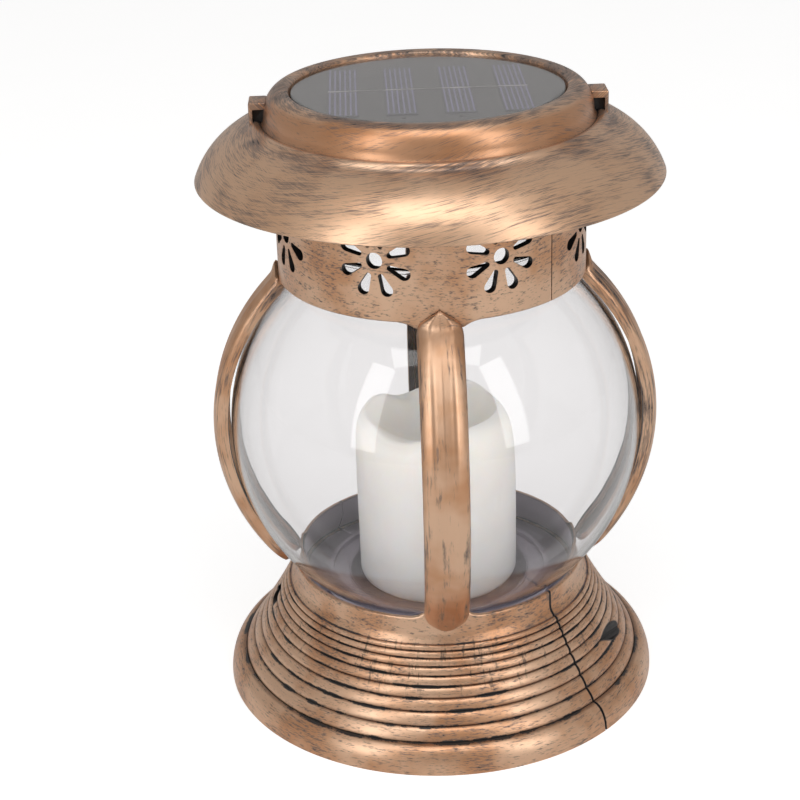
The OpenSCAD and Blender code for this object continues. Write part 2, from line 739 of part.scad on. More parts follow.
module led_lens() {
  low_z = box_floor_z - 7;
  color([0.95, 0.95, 0.92, 0.6]) difference() {
    union() {
      translate([0, 0, low_z]) sphere(r = 4.1);
      translate([0, 0, low_z]) cylinder(r = 4.1, h = 7.05);
      translate([0, 0, box_floor_z + 0.05]) cylinder(r = 5.4, h = 0.9);
    }
    translate([0, 0, low_z]) sphere(r = 3.1);
    translate([0, 0, low_z]) cylinder(r = 3.1, h = 10);
  }
}

module switch_housing() {
  color("#b9bcc0") translate([0, switch_y, box_floor_z + 0.1]) difference() {
    translate([-6, -3.3, 0]) cube([12, 6.6, 4.6]);
    translate([-4.6, -2.2, -1]) cube([9.2, 4.4, 4.2]);
  }
}

module switch_slider() {
  color(black) translate([-switch_travel / 2, switch_y, 0]) {
    translate([-2.8, -1.9, box_floor_z + 0.4]) cube([5.6, 3.8, 2.3]);
    translate([-1.9, -1.2, box_low_z - 1.8]) cube([3.8, 2.4, box_t + 2.3]);
    for (k = [-1 : 1]) translate([k * 1.2 - 0.25, -1.2, box_low_z - 2.1]) cube([0.5, 2.4, 0.4]);
  }
}

module battery_door() {
  w = door_open[0] - 2 * door_gap;
  near_y = door_y - door_open[1] / 2 + 0.6;
  far_y = door_y + door_open[1] / 2 - door_gap;
  low_z = box_low_z + 0.1;
  color(black) difference() {
    union() {
      translate([-w / 2, near_y, low_z]) cube([w, far_y - near_y, door_t]);
      for (x = [-18, 18]) translate([x, 0, 0]) {
        translate([0, hinge_y, hinge_z]) rotate([0, 90, 0]) cylinder(r = hinge_barrel_r, h = barrel_len, center = true);
        translate([-barrel_len / 2, far_y - 2.4, hinge_z - 0.4]) cube([barrel_len, hinge_y - far_y + 2.4, 0.9]);
        translate([-barrel_len / 2, far_y - 2.4, hinge_z - 0.4]) cube([barrel_len, 2, low_z - hinge_z + 0.6]);
      }
      // Grip bars for a fingernail
      for (k = [0 : 3]) translate([-8, near_y + 1.6 + 1.5 * k, low_z - 0.5]) cube([16, 0.7, 0.6]);
    }
    for (x = [-18, 18]) translate([x, hinge_y, hinge_z]) rotate([0, 90, 0])
      cylinder(r = hinge_pin_r + hinge_run, h = barrel_len + 2, center = true);
  }
}

module door_hinge_pin() {
  color("#b9bcc0") for (x = [-18, 18]) translate([x, hinge_y, hinge_z]) rotate([0, 90, 0])
    cylinder(r = hinge_pin_r, h = barrel_len + 3.4, center = true);
}

// ---------------------------------------------------------------- assembly

frame_half_front();
frame_half_rear();
frame_screws();
globe();
globe_seat();
globe_pad();
candle();
lid_seal_ring();
lid_shell();
panel_seal();
solar_panel_board();
solar_cells();
cell_tabs();
solar_panel_cover();
battery_box();
lid_screws();
battery();
battery_contacts();
battery_spring();
battery_leads();
panel_leads();
circuit_board();
boost_chip();
inductor();
led();
led_lens();
switch_housing();
switch_slider();
battery_door();
door_hinge_pin();
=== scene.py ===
import math

import bmesh
import bpy
import numpy as np
from mathutils import Matrix, Vector


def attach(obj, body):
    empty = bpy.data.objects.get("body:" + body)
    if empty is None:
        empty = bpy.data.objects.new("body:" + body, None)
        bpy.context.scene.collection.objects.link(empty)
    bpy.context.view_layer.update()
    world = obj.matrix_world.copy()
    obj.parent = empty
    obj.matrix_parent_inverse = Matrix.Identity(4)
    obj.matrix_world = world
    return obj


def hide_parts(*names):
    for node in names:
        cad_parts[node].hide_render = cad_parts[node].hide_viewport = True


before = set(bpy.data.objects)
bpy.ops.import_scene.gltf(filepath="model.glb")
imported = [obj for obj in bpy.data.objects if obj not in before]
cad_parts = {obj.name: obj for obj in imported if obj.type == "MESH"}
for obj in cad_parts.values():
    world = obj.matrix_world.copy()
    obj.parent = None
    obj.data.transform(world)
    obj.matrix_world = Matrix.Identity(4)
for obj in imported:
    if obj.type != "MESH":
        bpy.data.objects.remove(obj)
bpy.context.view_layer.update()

MM = 0.001
rad = math.radians

# ------------------------------------------------------------------ sizes, in mm, as the CAD has them

BASE_R, RIM_H = 69.8, 8.4
NECK_R, NECK_IN_R, NECK_TOP = 47.0, 45.4, 41.3
FLARE_TOP, FLARE_END = np.array([49.0, 33.4]), np.array([64.7, 8.2])
RIDGES, RIDGE_GROWTH, RIDGE_DEPTH, FLARE_SAG, WALL = 9, 1.12, 0.8, 0.6, 2.3
GLOBE_Z, GLOBE_R, GLASS, GLOBE_FLOOR, GLOBE_NECK, GLOBE_LIP = 87.8, 64.5, 1.8, 31.6, 40.0, 152.0
RIB_R, RIB_HALF, RIB_FOOT, ARCH_LOW, ARCH_TOP = 70.0, 6.75, 38.2, 136.3, 142.3
COLLAR_R, COLLAR_IN, COLLAR_LOW, COLLAR_TOP = 47.0, 44.5, 138.2, 175.5
FLOWER_Z, FLOWER_R, HUB_R, PETAL_OUT, PETAL_IN, PETAL_START = 156.3, 11.2, 2.45, 3.6, 1.7, 4.1
SEAM = 135.0
SEAM_GAP = 0.2
CANDLE_R, CANDLE_LOW = 25.7, 33.6
PANEL_R, RING_TOP, LEDGE_TOP, LEDGE_R = 41.0, 195.3, 190.4, 36.0
RING_C, RING_A = (43.6, 188.0), 5.2
SKIRT_R, SKIRT_T, SKIRT_LOW = 43.8, 2.2, 166.0
FLANGE_Z = 177.0
LUGS_AT, LUG_HALF, LUG_REACH, LUG_Z, LUG_H = (90, 210, 330), 6, 1.9, 169, 2
LID_BOSS_R, LID_BOSS_AT = 3.2, 35.5
# Frame screws: distance across the seam plane, height, the side the hole is on, depth of the head's seat
SCREWS = ((52.5, 17.9, 1, 6.0), (-38.0, 25.0, -1, 7.0))
SCREW_BOSS_R, SCREW_HEAD_R, SCREW_SHANK_R, SCREW_PILOT_R = 3.7, 2.5, 1.5, 1.25
EAR_LOW, EAR_HIGH, EAR_EDGE, EYE_Z, EYE_R, EYE_FLOOR = (47.6, -4.5, 184.2), (52.9, 4.5, 192.4), 0.45, 188.4, 1.5, 48.9

# ------------------------------------------------------------------ mesh helpers


def flare(s, lift=0.0):
    run = FLARE_END - FLARE_TOP
    d = run / np.linalg.norm(run)
    return FLARE_TOP + run * s + np.array([-d[1], d[0]]) * (lift - FLARE_SAG * math.sin(math.pi * s))


def arc(centre, radius, a0, a1, n):
    """Points of an arc in the profile plane, angles in degrees."""
    return [
        (centre[0] + radius * math.cos(rad(a)), centre[1] + radius * math.sin(rad(a)))
        for a in np.linspace(a0, a1, n)
    ]


def circle(radius, n):
    return arc((0, 0), radius, 0, 350, n)


def bulge(a, b, sag, n):
    """Arc from a to b that bulges by sag to the left of the way."""
    a, b = np.array(a, float), np.array(b, float)
    c = np.linalg.norm(b - a)
    r = (c * c / 4 + sag * sag) / (2 * sag)
    d = (b - a) / c
    nrm = np.array([-d[1], d[0]])
    o = (a + b) / 2 - nrm * (r - sag)
    h = math.asin(c / 2 / r)
    return [tuple(o + nrm * r * math.cos(u) + d * r * math.sin(u)) for u in np.linspace(-h, h, n)]


def curve_through(points, n):
    """Smooth monotone curve through the points, n samples per span."""
    p = np.array(points, float)
    m = np.gradient(p, axis=0)
    out = []
    for k in range(len(p) - 1):
        for t in np.linspace(0, 1, n, endpoint=False):
            h1, h2 = 2 * t**3 - 3 * t**2 + 1, t**3 - 2 * t**2 + t
            h3, h4 = -2 * t**3 + 3 * t**2, t**3 - t**2
            out.append(h1 * p[k] + h2 * m[k] + h3 * p[k + 1] + h4 * m[k + 1])
    out.append(p[-1])
    return np.array(out)


def densify(profile, longest):
    """Extra points on long straight stretches of a closed profile."""
    out = []
    for a, b in zip(profile, list(profile[1:]) + [profile[0]]):
        a, b = np.array(a, float), np.array(b, float)
        n = max(1, int(np.linalg.norm(b - a) / longest))
        out += [tuple(a + (b - a) * k / n) for k in range(n)]
    return out


def mesh_object(name, verts, faces, scale=MM):
    me = bpy.data.meshes.new(name)
    me.from_pydata([tuple(c * scale for c in v) for v in verts], [], [tuple(f) for f in faces])
    me.validate()
    me.update()
    o = bpy.data.objects.new(name, me)
    bpy.context.scene.collection.objects.link(o)
    return o


def grid_object(name, grid, wrap_u, wrap_v, caps=False):
    """grid[u][v] points; faces run round each wrapped direction, and caps close the ends of u."""
    nu, nv = len(grid), len(grid[0])
    verts = [tuple(p) for row in grid for p in row]
    faces = []
    for u in range(nu if wrap_u else nu - 1):
        for v in range(nv if wrap_v else nv - 1):
            a, b = (u + 1) % nu, (v + 1) % nv
            faces.append((u * nv + v, u * nv + b, a * nv + b, a * nv + v))
    if caps:
        faces.append(tuple(reversed(range(nv))))
        faces.append(tuple((nu - 1) * nv + v for v in range(nv)))
    o = mesh_object(name, verts, faces)
    face_out(o)
    return o


def face_out(o):
    """All faces of a closed mesh outwards."""
    bm = bmesh.new()
    bm.from_mesh(o.data)
    bmesh.ops.remove_doubles(bm, verts=bm.verts, dist=1e-7)
    bmesh.ops.recalc_face_normals(bm, faces=bm.faces)
    if bm.calc_volume(signed=True) < 0:
        bmesh.ops.reverse_faces(bm, faces=bm.faces)
    bm.to_mesh(o.data)
    bm.free()


def revolve(name, profile, n=240, a0=0.0, a1=360.0, edit=None):
    """Solid of a closed (r, z) profile turned about the axis; edit(r, z, angle) may shift z."""
    full = a1 - a0 >= 360
    angles = np.linspace(a0, a1, n, endpoint=not full)
    grid = []
    for a in angles:
        c, s = math.cos(rad(a)), math.sin(rad(a))
        row = []
        for r, z in profile:
            if edit:
                z = edit(r, z, a)
            row.append((r * c, r * s, z))
        grid.append(row)
    return grid_object(name, grid, full, True, caps=not full)


def combine(base, tools, op):
    for t in tools:
        m = base.modifiers.new("combine", "BOOLEAN")
        m.operation, m.object, m.solver = op, t, "MANIFOLD"
    dg = bpy.context.evaluated_depsgraph_get()
    me = bpy.data.meshes.new_from_object(base.evaluated_get(dg))
    base.modifiers.clear()
    base.data = me
    for t in tools:
        bpy.data.objects.remove(t)
    return base


def prism(name, outline, frame_matrix, depth0, depth1):
    """Outline in the (u, v) plane pushed from depth0 to depth1 along the matrix's third axis."""
    n = len(outline)
    verts = []
    for d in (depth0, depth1):
        for u, v in outline:
            verts.append(tuple(frame_matrix @ Vector((u, v, d))))
    faces = [tuple(reversed(range(n))), tuple(range(n, 2 * n))]
    faces += [(k, (k + 1) % n, n + (k + 1) % n, n + k) for k in range(n)]
    o = mesh_object(name, verts, faces)
    face_out(o)
    return o


def outward(angle):
    """Frame whose third axis points out from the axis at this angle, with v up."""
    a = rad(angle)
    return Matrix(((-math.sin(a), 0, math.cos(a), 0), (math.cos(a), 0, math.sin(a), 0), (0, 1, 0, 0), (0, 0, 0, 1)))


def smooth(o, angle=32):
    o.data.shade_smooth()
    o.data.set_sharp_from_angle(angle=rad(angle))
    return o


def box_points(x0, x1, y0, y1):
    return [(x0, y0), (x1, y0), (x1, y1), (x0, y1)]


def round_box(name, lo, hi, bevel, segments=3):
    """A box with rounded edges."""
    x0, y0, z0 = lo
    x1, y1, z1 = hi
    v = [(x, y, z) for z in (z0, z1) for y in (y0, y1) for x in (x0, x1)]
    f = [(0, 2, 3, 1), (4, 5, 7, 6), (0, 1, 5, 4), (2, 6, 7, 3), (0, 4, 6, 2), (1, 3, 7, 5)]
    o = mesh_object(name, v, f)
    m = o.modifiers.new("round", "BEVEL")
    m.width, m.segments, m.limit_method = bevel * MM, segments, "NONE"
    dg = bpy.context.evaluated_depsgraph_get()
    o.data = bpy.data.meshes.new_from_object(o.evaluated_get(dg))
    o.modifiers.clear()
    return o


# ------------------------------------------------------------------ materials


class Nodes:
    """Short names for building a material's node tree."""

    def __init__(self, name):
        self.mat = bpy.data.materials.new(name)
        self.mat.use_nodes = True
        self.nt = self.mat.node_tree
        self.nt.nodes.clear()
        self.out = self.nt.nodes.new("ShaderNodeOutputMaterial")
        self.shader = self.nt.nodes.new("ShaderNodeBsdfPrincipled")
        self.nt.links.new(self.shader.outputs[0], self.out.inputs[0])

    def put(self, socket, value):
        if hasattr(value, "links"):
            self.nt.links.new(value, socket)
        elif isinstance(value, (tuple, list)) and len(value) == 3 and socket.type == "RGBA":
            socket.default_value = (*value, 1)
        else:
            socket.default_value = value

    def add(self, kind, values=(), **props):
        n = self.nt.nodes.new(kind)
        for k, v in props.items():
            setattr(n, k, v)
        items = values.items() if isinstance(values, dict) else enumerate(values)
        for k, v in items:
            self.put(n.inputs[k], v)
        return n

    def math(self, op, a, b=0.0):
        return self.add("ShaderNodeMath", (a, b), operation=op).outputs[0]

    def chain(self, op, values):
        result = values[0]
        for v in values[1:]:
            result = self.math(op, result, v)
        return result

    def mul(self, *values):
        return self.chain("MULTIPLY", values)

    def plus(self, *values):
        return self.chain("ADD", values)

    def most(self, *values):
        return self.chain("MAXIMUM", values)

    def minus(self, a, b):
        return self.math("SUBTRACT", a, b)

    def size(self, vector):
        return self.add("ShaderNodeVectorMath", (vector,), operation="LENGTH").outputs["Value"]

    def vec(self, x, y, z):
        return self.add("ShaderNodeCombineXYZ", (x, y, z)).outputs[0]

    def ramp(self, value, lo, hi, out_lo=0.0, out_hi=1.0):
        n = self.add("ShaderNodeMapRange", interpolation_type="SMOOTHSTEP")
        for k, v in zip(range(5), (value, lo, hi, out_lo, out_hi)):
            self.put(n.inputs[k], v)
        return n.outputs[0]

    def noise(self, vector, scale=1.0, detail=2.0, rough=0.5):
        values = {"Vector": vector, "Scale": scale, "Detail": detail, "Roughness": rough}
        return self.add("ShaderNodeTexNoise", values).outputs[0]

    def mix(self, fac, a, b):
        n = self.add("ShaderNodeMix", data_type="RGBA")
        self.put(n.inputs[0], fac)
        self.put(n.inputs[6], a)
        self.put(n.inputs[7], b)
        return n.outputs[2]

    def position(self):
        """Object coordinates in mm, with x, y and z."""
        at = self.add("ShaderNodeTexCoord").outputs["Object"]
        mm = self.add("ShaderNodeVectorMath", (at, (1000.0, 1000.0, 1000.0)), operation="MULTIPLY").outputs[0]
        xyz = self.add("ShaderNodeSeparateXYZ", (mm,)).outputs
        return mm, xyz[0], xyz[1], xyz[2]

    def set(self, **values):
        for k, v in values.items():
            self.put(self.shader.inputs[k.replace("_", " ")], v)

    def bump(self, height, strength, distance):
        n = self.add("ShaderNodeBump", {"Strength": strength, "Distance": distance, "Height": height})
        self.nt.links.new(n.outputs[0], self.shader.inputs["Normal"])


def linear(r, g, b):
    """Display colour, 0 to 255, as linear light."""
    return tuple(((c / 255 + 0.055) / 1.055) ** 2.4 if c > 10 else c / 255 / 12.92 for c in (r, g, b))


COPPER_LIGHT = linear(232, 192, 160)
COPPER_DEEP = linear(208, 154, 114)
COPPER_RING = linear(200, 140, 96)
# Painted highlight for the lid's brim
COPPER_BRIM_HIGHLIGHT = linear(238, 197, 162)
# Painted light and reflection for the shaded well under the globe
WELL_PAINTED_SHEEN = linear(196, 188, 201)
# Painted shade for the creases between the flare's ridges
GROOVE_SHADE_BROWN = linear(112, 78, 58)
WASH = linear(112, 97, 90)
BLACK = linear(34, 31, 30)


class Around:
    """A point on the lantern, as sockets: position, direction round the axis, and the noises that copper shares."""

    def __init__(self, n):
        self.n = n
        self.mm, self.x, self.y, self.z = n.position()
        self.r = n.size(n.vec(self.x, self.y, 0.0))
        self.cx, self.cy = n.math("DIVIDE", self.x, self.r), n.math("DIVIDE", self.y, self.r)
        self.turn = n.math("ARCTAN2", self.cy, self.cx)
        self.along = n.minus(self.z, self.r)
        self.patches = n.noise(self.mm, 0.055, 3.0, 0.55)
        self.grain = n.noise(self.mm, 1.3, 3.0, 0.65)
        self.normal = n.add("ShaderNodeNewGeometry").outputs["Normal"]
        outward_dir = n.vec(self.cx, self.cy, 0.0)
        dot = n.add("ShaderNodeVectorMath", (self.normal, outward_dir), operation="DOT_PRODUCT")
        self.facing = dot.outputs["Value"]

    def round_and(self, scale, third):
        """Noise coordinates that repeat with the direction round the axis."""
        return self.n.vec(self.n.mul(self.cx, scale), self.n.mul(self.cy, scale), third)

    def strokes(self, freq_round, freq_across, swirl, waves, shift=0.0):
        """Brush strokes that run round the object and lean by the swirl."""
        n = self.n
        lean = n.mul(n.math("SINE", n.plus(n.mul(self.turn, waves), shift)), swirl)
        return n.noise(self.round_and(freq_round, n.mul(n.plus(self.along, lean), freq_across)), 1.0, 3.0, 0.6)

    def grainy(self, share):
        return self.n.mul(self.n.minus(self.grain, 0.5), share)

    def patchy(self, share):
        return self.n.mul(self.n.minus(self.patches, 0.5), share)


def lid_wash(at):
    """How much dark wash lies over the lid: more near the ring, more away from the front as painted shade, and less
    on the brim's and ring's front as a painted highlight.
    """
    n = at.n
    brush = n.plus(n.mul(at.strokes(4.0, 0.35, 9.0, 2.0), 0.26), n.mul(at.strokes(7.0, 1.9, 12.0, 2.0, 0.4), 0.40),
                   n.mul(at.strokes(12.0, 4.4, 9.0, 3.0, 1.1), 0.34))
    # Painted light: the front of the brim carries less wash as a painted highlight, and the rest of its round carries
    # more as painted shade
    front = n.mul(at.cy, -1.0, n.ramp(at.r, 50.0, 60.0))
    side_shade = n.mul(n.minus(0.55, front), 0.05)
    by_the_bead = n.mul(n.ramp(at.r, 59.0, 54.0), n.ramp(at.r, 52.5, 53.5), 0.04)
    ring_top = n.mul(n.ramp(at.z, 193.8, 194.8), 0.05)
    ring_side = n.mul(n.ramp(at.r, 50.2, 49.4), n.ramp(at.z, 195.0, 194.0))
    # Painted highlight: less wash on the front of the ring
    ring_front_highlight = n.mul(ring_side, n.ramp(at.cy, 0.2, -0.9), -0.06)
    return n.plus(brush, at.patchy(0.24), side_shade, by_the_bead, ring_top, ring_front_highlight)


def frame_wash(at):
    """How much dark wash lies over the frame: strokes along the ribs, and round the base and the collar."""
    n = at.n
    above = n.minus(at.z, GLOBE_Z)
    polar, depth = n.math("ARCTAN2", above, at.r), n.size(n.vec(at.x, at.y, above))
    fine_at = n.vec(n.plus(n.mul(at.cx, 62.0), depth), n.plus(n.mul(at.cy, 62.0), depth), n.mul(polar, 9.0))
    fine = n.noise(fine_at, 1.0, 4.0, 0.65)
    long = n.noise(at.round_and(24.0, n.mul(polar, 2.2)), 1.0, 2.0, 0.5)
    # Ribs are darker along their edges and on the right side of the lantern
    across = n.math("MINIMUM", n.math("ABSOLUTE", at.x), n.math("ABSOLUTE", at.y))
    edges, right = n.mul(n.ramp(across, 3.5, 6.6), 0.055), n.mul(n.ramp(at.cx, 0.5, 0.9), 0.05)
    on_ribs = n.plus(n.mul(fine, 0.6), n.mul(long, 0.4), -0.035, edges, right)
    elsewhere = n.plus(n.mul(at.strokes(9.0, 0.9, 2.5, 3.0), 0.4), n.mul(at.strokes(34.0, 2.2, 1.5, 5.0, 0.7), 0.6))
    choose = n.add("ShaderNodeMix", (n.mul(n.ramp(at.z, 41.5, 43.5), n.ramp(at.z, 138.5, 136.5)),), data_type="FLOAT")
    n.put(choose.inputs[2], elsewhere)
    n.put(choose.inputs[3], on_ribs)
    return n.plus(choose.outputs[0], at.patchy(0.2))


def flare_grooves(at):
    """Place in the flare's ridge pattern: index of the ridge, distance from the nearest groove, and the mask."""
    n = at.n
    run = FLARE_END - FLARE_TOP
    down = n.plus(n.mul(n.minus(at.r, FLARE_TOP[0]), float(run[0])),
                  n.mul(n.minus(at.z, FLARE_TOP[1]), float(run[1])))
    share = n.math("DIVIDE", down, float(run @ run))
    grown = n.plus(n.mul(share, RIDGE_GROWTH**RIDGES - 1), 1.0)
    index = n.math("DIVIDE", n.math("LOGARITHM", grown, math.e), math.log(RIDGE_GROWTH))
    off = n.math("ABSOLUTE", n.minus(n.math("FRACT", n.plus(index, 0.5)), 0.5))
    return index, off, n.mul(n.ramp(at.z, 34.2, 33.6), n.ramp(at.z, 7.2, 7.8))


def frame_black(at, index, off, on_flare):
    """Black paint on the frame: grooves, smears, seam, screw holes and the flowers' cut walls."""
    n = at.n
    broken = n.noise(at.round_and(4.0, n.mul(index, 0.75)), 1.0, 3.0, 0.6)
    width = n.ramp(n.plus(broken, at.grainy(0.25)), 0.44, 0.66, 0.0, 0.17)
    groove = n.mul(n.ramp(n.minus(off, width), 0.03, -0.03), on_flare)
    # Dry smears that cross the upper ridges
    smear = n.noise(at.round_and(26.0, n.mul(at.z, 0.12)), 1.0, 4.0, 0.7)
    upper = n.mul(n.ramp(at.z, 18.0, 24.0), n.ramp(at.z, 35.5, 32.5))
    smear = n.mul(n.ramp(n.minus(smear, n.mul(off, 0.22)), 0.5, 0.6), upper, 0.75)
    # Dark line along the seam between the halves
    along_seam = n.mul(n.plus(at.x, at.y), math.sqrt(0.5))
    edge = n.plus(n.ramp(at.z, 42.0, 60.0, 0.25, -0.15), n.mul(at.grain, 0.5))
    seam = n.ramp(n.minus(n.math("ABSOLUTE", along_seam), edge), 0.12, -0.12)
    black = n.most(groove, smear, seam)
    across_seam = n.mul(n.minus(at.y, at.x), math.sqrt(0.5))
    for across, height, face, _ in SCREWS:
        off_axis = n.size(n.vec(n.plus(across_seam, across), n.minus(at.z, height), 0.0))
        hole = n.mul(n.ramp(off_axis, 2.95, 2.6), n.ramp(n.mul(along_seam, float(face)), 0.0, 1.0))
        black = n.most(black, hole)
    sideways = n.ramp(n.math("ABSOLUTE", at.facing), 0.6, 0.5)
    in_wall = n.ramp(at.r, COLLAR_R - 0.05, COLLAR_R - 0.2)
    level = n.mul(n.ramp(at.z, COLLAR_LOW + 4.0, COLLAR_LOW + 5.0), n.ramp(at.z, COLLAR_TOP - 0.6, COLLAR_TOP - 1.0))
    return n.most(black, n.mul(sideways, in_wall, level))


def ear_black(at):
    """Black inside the recesses of the handle ears."""
    n = at.n
    ax, ay = n.math("ABSOLUTE", at.x), n.math("ABSOLUTE", at.y)
    length = n.mul(n.ramp(ax, 47.0, 47.6), n.ramp(ax, 51.9, 51.7))
    return n.mul(length, n.ramp(ay, 4.3, 3.9), n.ramp(ay, 1.8, 2.1), n.ramp(at.z, 190.6, 190.2))


def antique_copper(name, part):
    """Black plastic under dry-brushed satin copper paint. part is "frame" or "lid"."""
    n = Nodes(name)
    at = Around(n)
    is_lid = part == "lid"
    crevice = n.add("ShaderNodeAmbientOcclusion", {"Distance": 0.0028}, samples=8, only_local=True).outputs["AO"]
    cover = lid_wash(at) if is_lid else frame_wash(at)
    wash_from, wash_to, speck_from, speck_to = (0.465, 0.60, 0.61, 0.69) if is_lid else (0.50, 0.64, 0.635, 0.70)
    wash = n.ramp(cover, wash_from, wash_to)
    specks = n.ramp(n.plus(cover, at.grainy(0.2 if is_lid else 0.3)), speck_from, speck_to)
    dark = n.most(specks, n.ramp(n.plus(crevice, at.grainy(0.5)), 0.62, 0.34))
    tone = n.mix(n.ramp(at.patches, 0.35, 0.68), COPPER_LIGHT, COPPER_DEEP)
    inner = n.ramp(at.facing, -0.2, -0.45)
    if is_lid:
        down = n.add("ShaderNodeSeparateXYZ", (at.normal,)).outputs[2]
        underside = n.mul(n.ramp(down, -0.5, -0.7), n.ramp(at.z, 190.0, 188.0))
        dark = n.most(dark, ear_black(at), n.mul(inner, n.ramp(at.z, 183.0, 181.0)), underside)
        on_ring = n.mul(n.ramp(at.r, 50.4, 49.6), n.ramp(at.z, 195.0, 193.0))
        tone = n.mix(n.mul(on_ring, 0.65), tone, COPPER_RING)
        # Painted highlight: paler, lighter copper over the brim, which faces the overhead light
        tone = n.mix(n.ramp(at.r, 52.0, 60.0, 0.0, 0.7), tone, COPPER_BRIM_HIGHLIGHT)
    else:
        index, off, on_flare = flare_grooves(at)
        dark = n.most(dark, frame_black(at, index, off, on_flare), n.mul(inner, 0.93))
        # Painted shade: deeper brown on the flare near each groove
        tone = n.mix(n.mul(n.ramp(off, 0.2, 0.04), on_flare, 0.55), tone, GROOVE_SHADE_BROWN)
    tone = n.mix(n.mul(wash, 0.85), tone, WASH)
    colour = n.mix(dark, tone, BLACK)
    if not is_lid:
        # The hollow under the globe, seen through the glass: painted a light violet-grey as a painted reflection of
        # the lamps in the glass, over plastic that lies in shade
        inside = n.most(inner, n.ramp(at.r, 46.5, 46.2))
        well_painted_light = n.mul(n.ramp(at.z, 28.8, 29.2), n.ramp(at.z, 41.6, 40.6), inside)
        colour = n.mix(well_painted_light, colour, WELL_PAINTED_SHEEN)
    metal = n.minus(0.93, n.mul(wash, 0.45))
    n.set(Base_Color=colour, Metallic=n.mul(metal, n.minus(1.0, dark)))
    n.set(Roughness=n.plus(0.29, n.mul(at.grain, 0.12), n.mul(wash, 0.06), n.mul(dark, 0.14)))
    n.set(Coat_Weight=0.35, Coat_Roughness=0.3, Specular_IOR_Level=0.5)
    n.bump(n.minus(n.mul(at.grain, 0.5), dark), 0.35, 0.00012)
    return n.mat


def plastic(name, colour, other, rough, grain=1.2, depth=0.00004, metal=0.0, coat=0.0, mottled=(0.42, 0.62)):
    """Moulded or cast material: two close tones, a fine grain and a mottled gloss."""
    n = Nodes(name)
    mm = n.position()[0]
    cloudy = n.noise(mm, 0.12, 4.0, 0.6)
    fine = n.noise(mm, grain, 3.0, 0.6)
    n.set(Base_Color=n.mix(n.ramp(cloudy, *mottled), colour, other), Metallic=metal, Coat_Weight=coat)
    n.set(Roughness=n.plus(rough, n.mul(n.minus(fine, 0.5), 0.22)))
    n.bump(fine, 0.4, depth)
    return n.mat


def brushed(name, colour, rough, direction=(0.2, 3.0, 3.0), metal=1.0):
    """Drawn or rolled metal with fine parallel lines."""
    n = Nodes(name)
    mm = n.position()[0]
    lines = n.noise(n.add("ShaderNodeVectorMath", (mm, direction), operation="MULTIPLY").outputs[0], 1.5, 3.0, 0.6)
    dull = n.noise(mm, 0.3, 3.0, 0.6)
    shade = tuple(c * 0.72 for c in colour)
    n.set(Base_Color=n.mix(n.ramp(dull, 0.4, 0.7), colour, shade), Metallic=metal)
    n.set(Roughness=n.plus(rough, n.mul(lines, 0.2)))
    n.bump(lines, 0.25, 0.00002)
    return n.mat


def lit_through(n):
    """Lets lamps through a clear piece, tinted as it is."""
    nt = n.nt
    clear = nt.nodes.new("ShaderNodeBsdfTransparent")
    clear.inputs[0].default_value = (0.93, 0.93, 0.93, 1)
    path = nt.nodes.new("ShaderNodeLightPath")
    mixer = nt.nodes.new("ShaderNodeMixShader")
    nt.links.new(path.outputs["Is Shadow Ray"], mixer.inputs[0])
    nt.links.new(n.shader.outputs[0], mixer.inputs[1])
    nt.links.new(clear.outputs[0], mixer.inputs[2])
    nt.links.new(mixer.outputs[0], n.out.inputs[0])


def clear_glass():
    n = Nodes("clear_glass")
    mm = n.position()[0]
    waves = n.noise(mm, 0.045, 2.0, 0.4)
    n.set(Base_Color=(0.92, 0.912, 0.915), Transmission_Weight=1.0, IOR=1.46)
    n.set(Roughness=n.ramp(n.noise(mm, 0.4, 3.0, 0.6), 0.35, 0.8, 0.0, 0.006))
    n.bump(waves, 0.12, 0.0006)
    lit_through(n)
    return n.mat


def candle_wax():
    n = Nodes("candle_wax")
    mm, x, y, z = n.position()
    cloudy = n.noise(mm, 0.06, 4.0, 0.6)
    fine = n.noise(mm, 1.4, 3.0, 0.6)
    runs = n.noise(n.vec(n.mul(x, 0.5), n.mul(y, 0.5), n.mul(z, 0.06)), 1.0, 3.0, 0.5)
    body = n.mix(n.ramp(cloudy, 0.35, 0.7), linear(243, 241, 238), linear(236, 233, 229))
    # Painted light: the top of the candle is lighter and glows faintly, though the lamp is off
    n.set(Base_Color=n.mix(n.ramp(z, 62.0, 95.0), body, linear(250, 244, 236)))
    n.set(Emission_Color=(1.0, 0.96, 0.92), Emission_Strength=n.ramp(z, 74.0, 92.0, 0.02, 0.12))
    n.set(Subsurface_Weight=0.75, Subsurface_Radius=(0.009, 0.0075, 0.006), Subsurface_Scale=1.0)
    n.set(Roughness=n.plus(0.38, n.mul(runs, 0.2)), Coat_Weight=0.15, Coat_Roughness=0.3)
    n.bump(n.plus(n.mul(fine, 0.25), runs), 0.3, 0.0003)
    return n.mat


def resin():
    n = Nodes("panel_resin")
    mm = n.position()[0]
    swirl = n.noise(mm, 0.08, 3.0, 0.5)
    n.set(Base_Color=(0.94, 0.94, 0.95), Transmission_Weight=1.0, IOR=1.52)
    n.set(Roughness=n.ramp(swirl, 0.3, 0.75, 0.02, 0.06))
    n.bump(n.noise(mm, 0.5, 2.0, 0.5), 0.1, 0.00004)
    lit_through(n)
    return n.mat


def panel_film():
    """Dark laminate under the resin, with a faint weave of fibres."""
    n = Nodes("panel_backing")
    mm, x, y, z = n.position()
    weave = n.mul(n.math("SINE", n.mul(x, 9.0)), n.math("SINE", n.mul(y, 9.0)))
    cloudy = n.noise(mm, 0.1, 3.0, 0.5)
    tone = n.plus(n.mul(cloudy, 0.7), n.mul(weave, 0.15))
    n.set(Base_Color=n.mix(tone, linear(72, 68, 66), linear(82, 78, 76)), Roughness=n.plus(0.35, n.mul(weave, 0.05)))
    n.bump(weave, 0.2, 0.00003)
    return n.mat


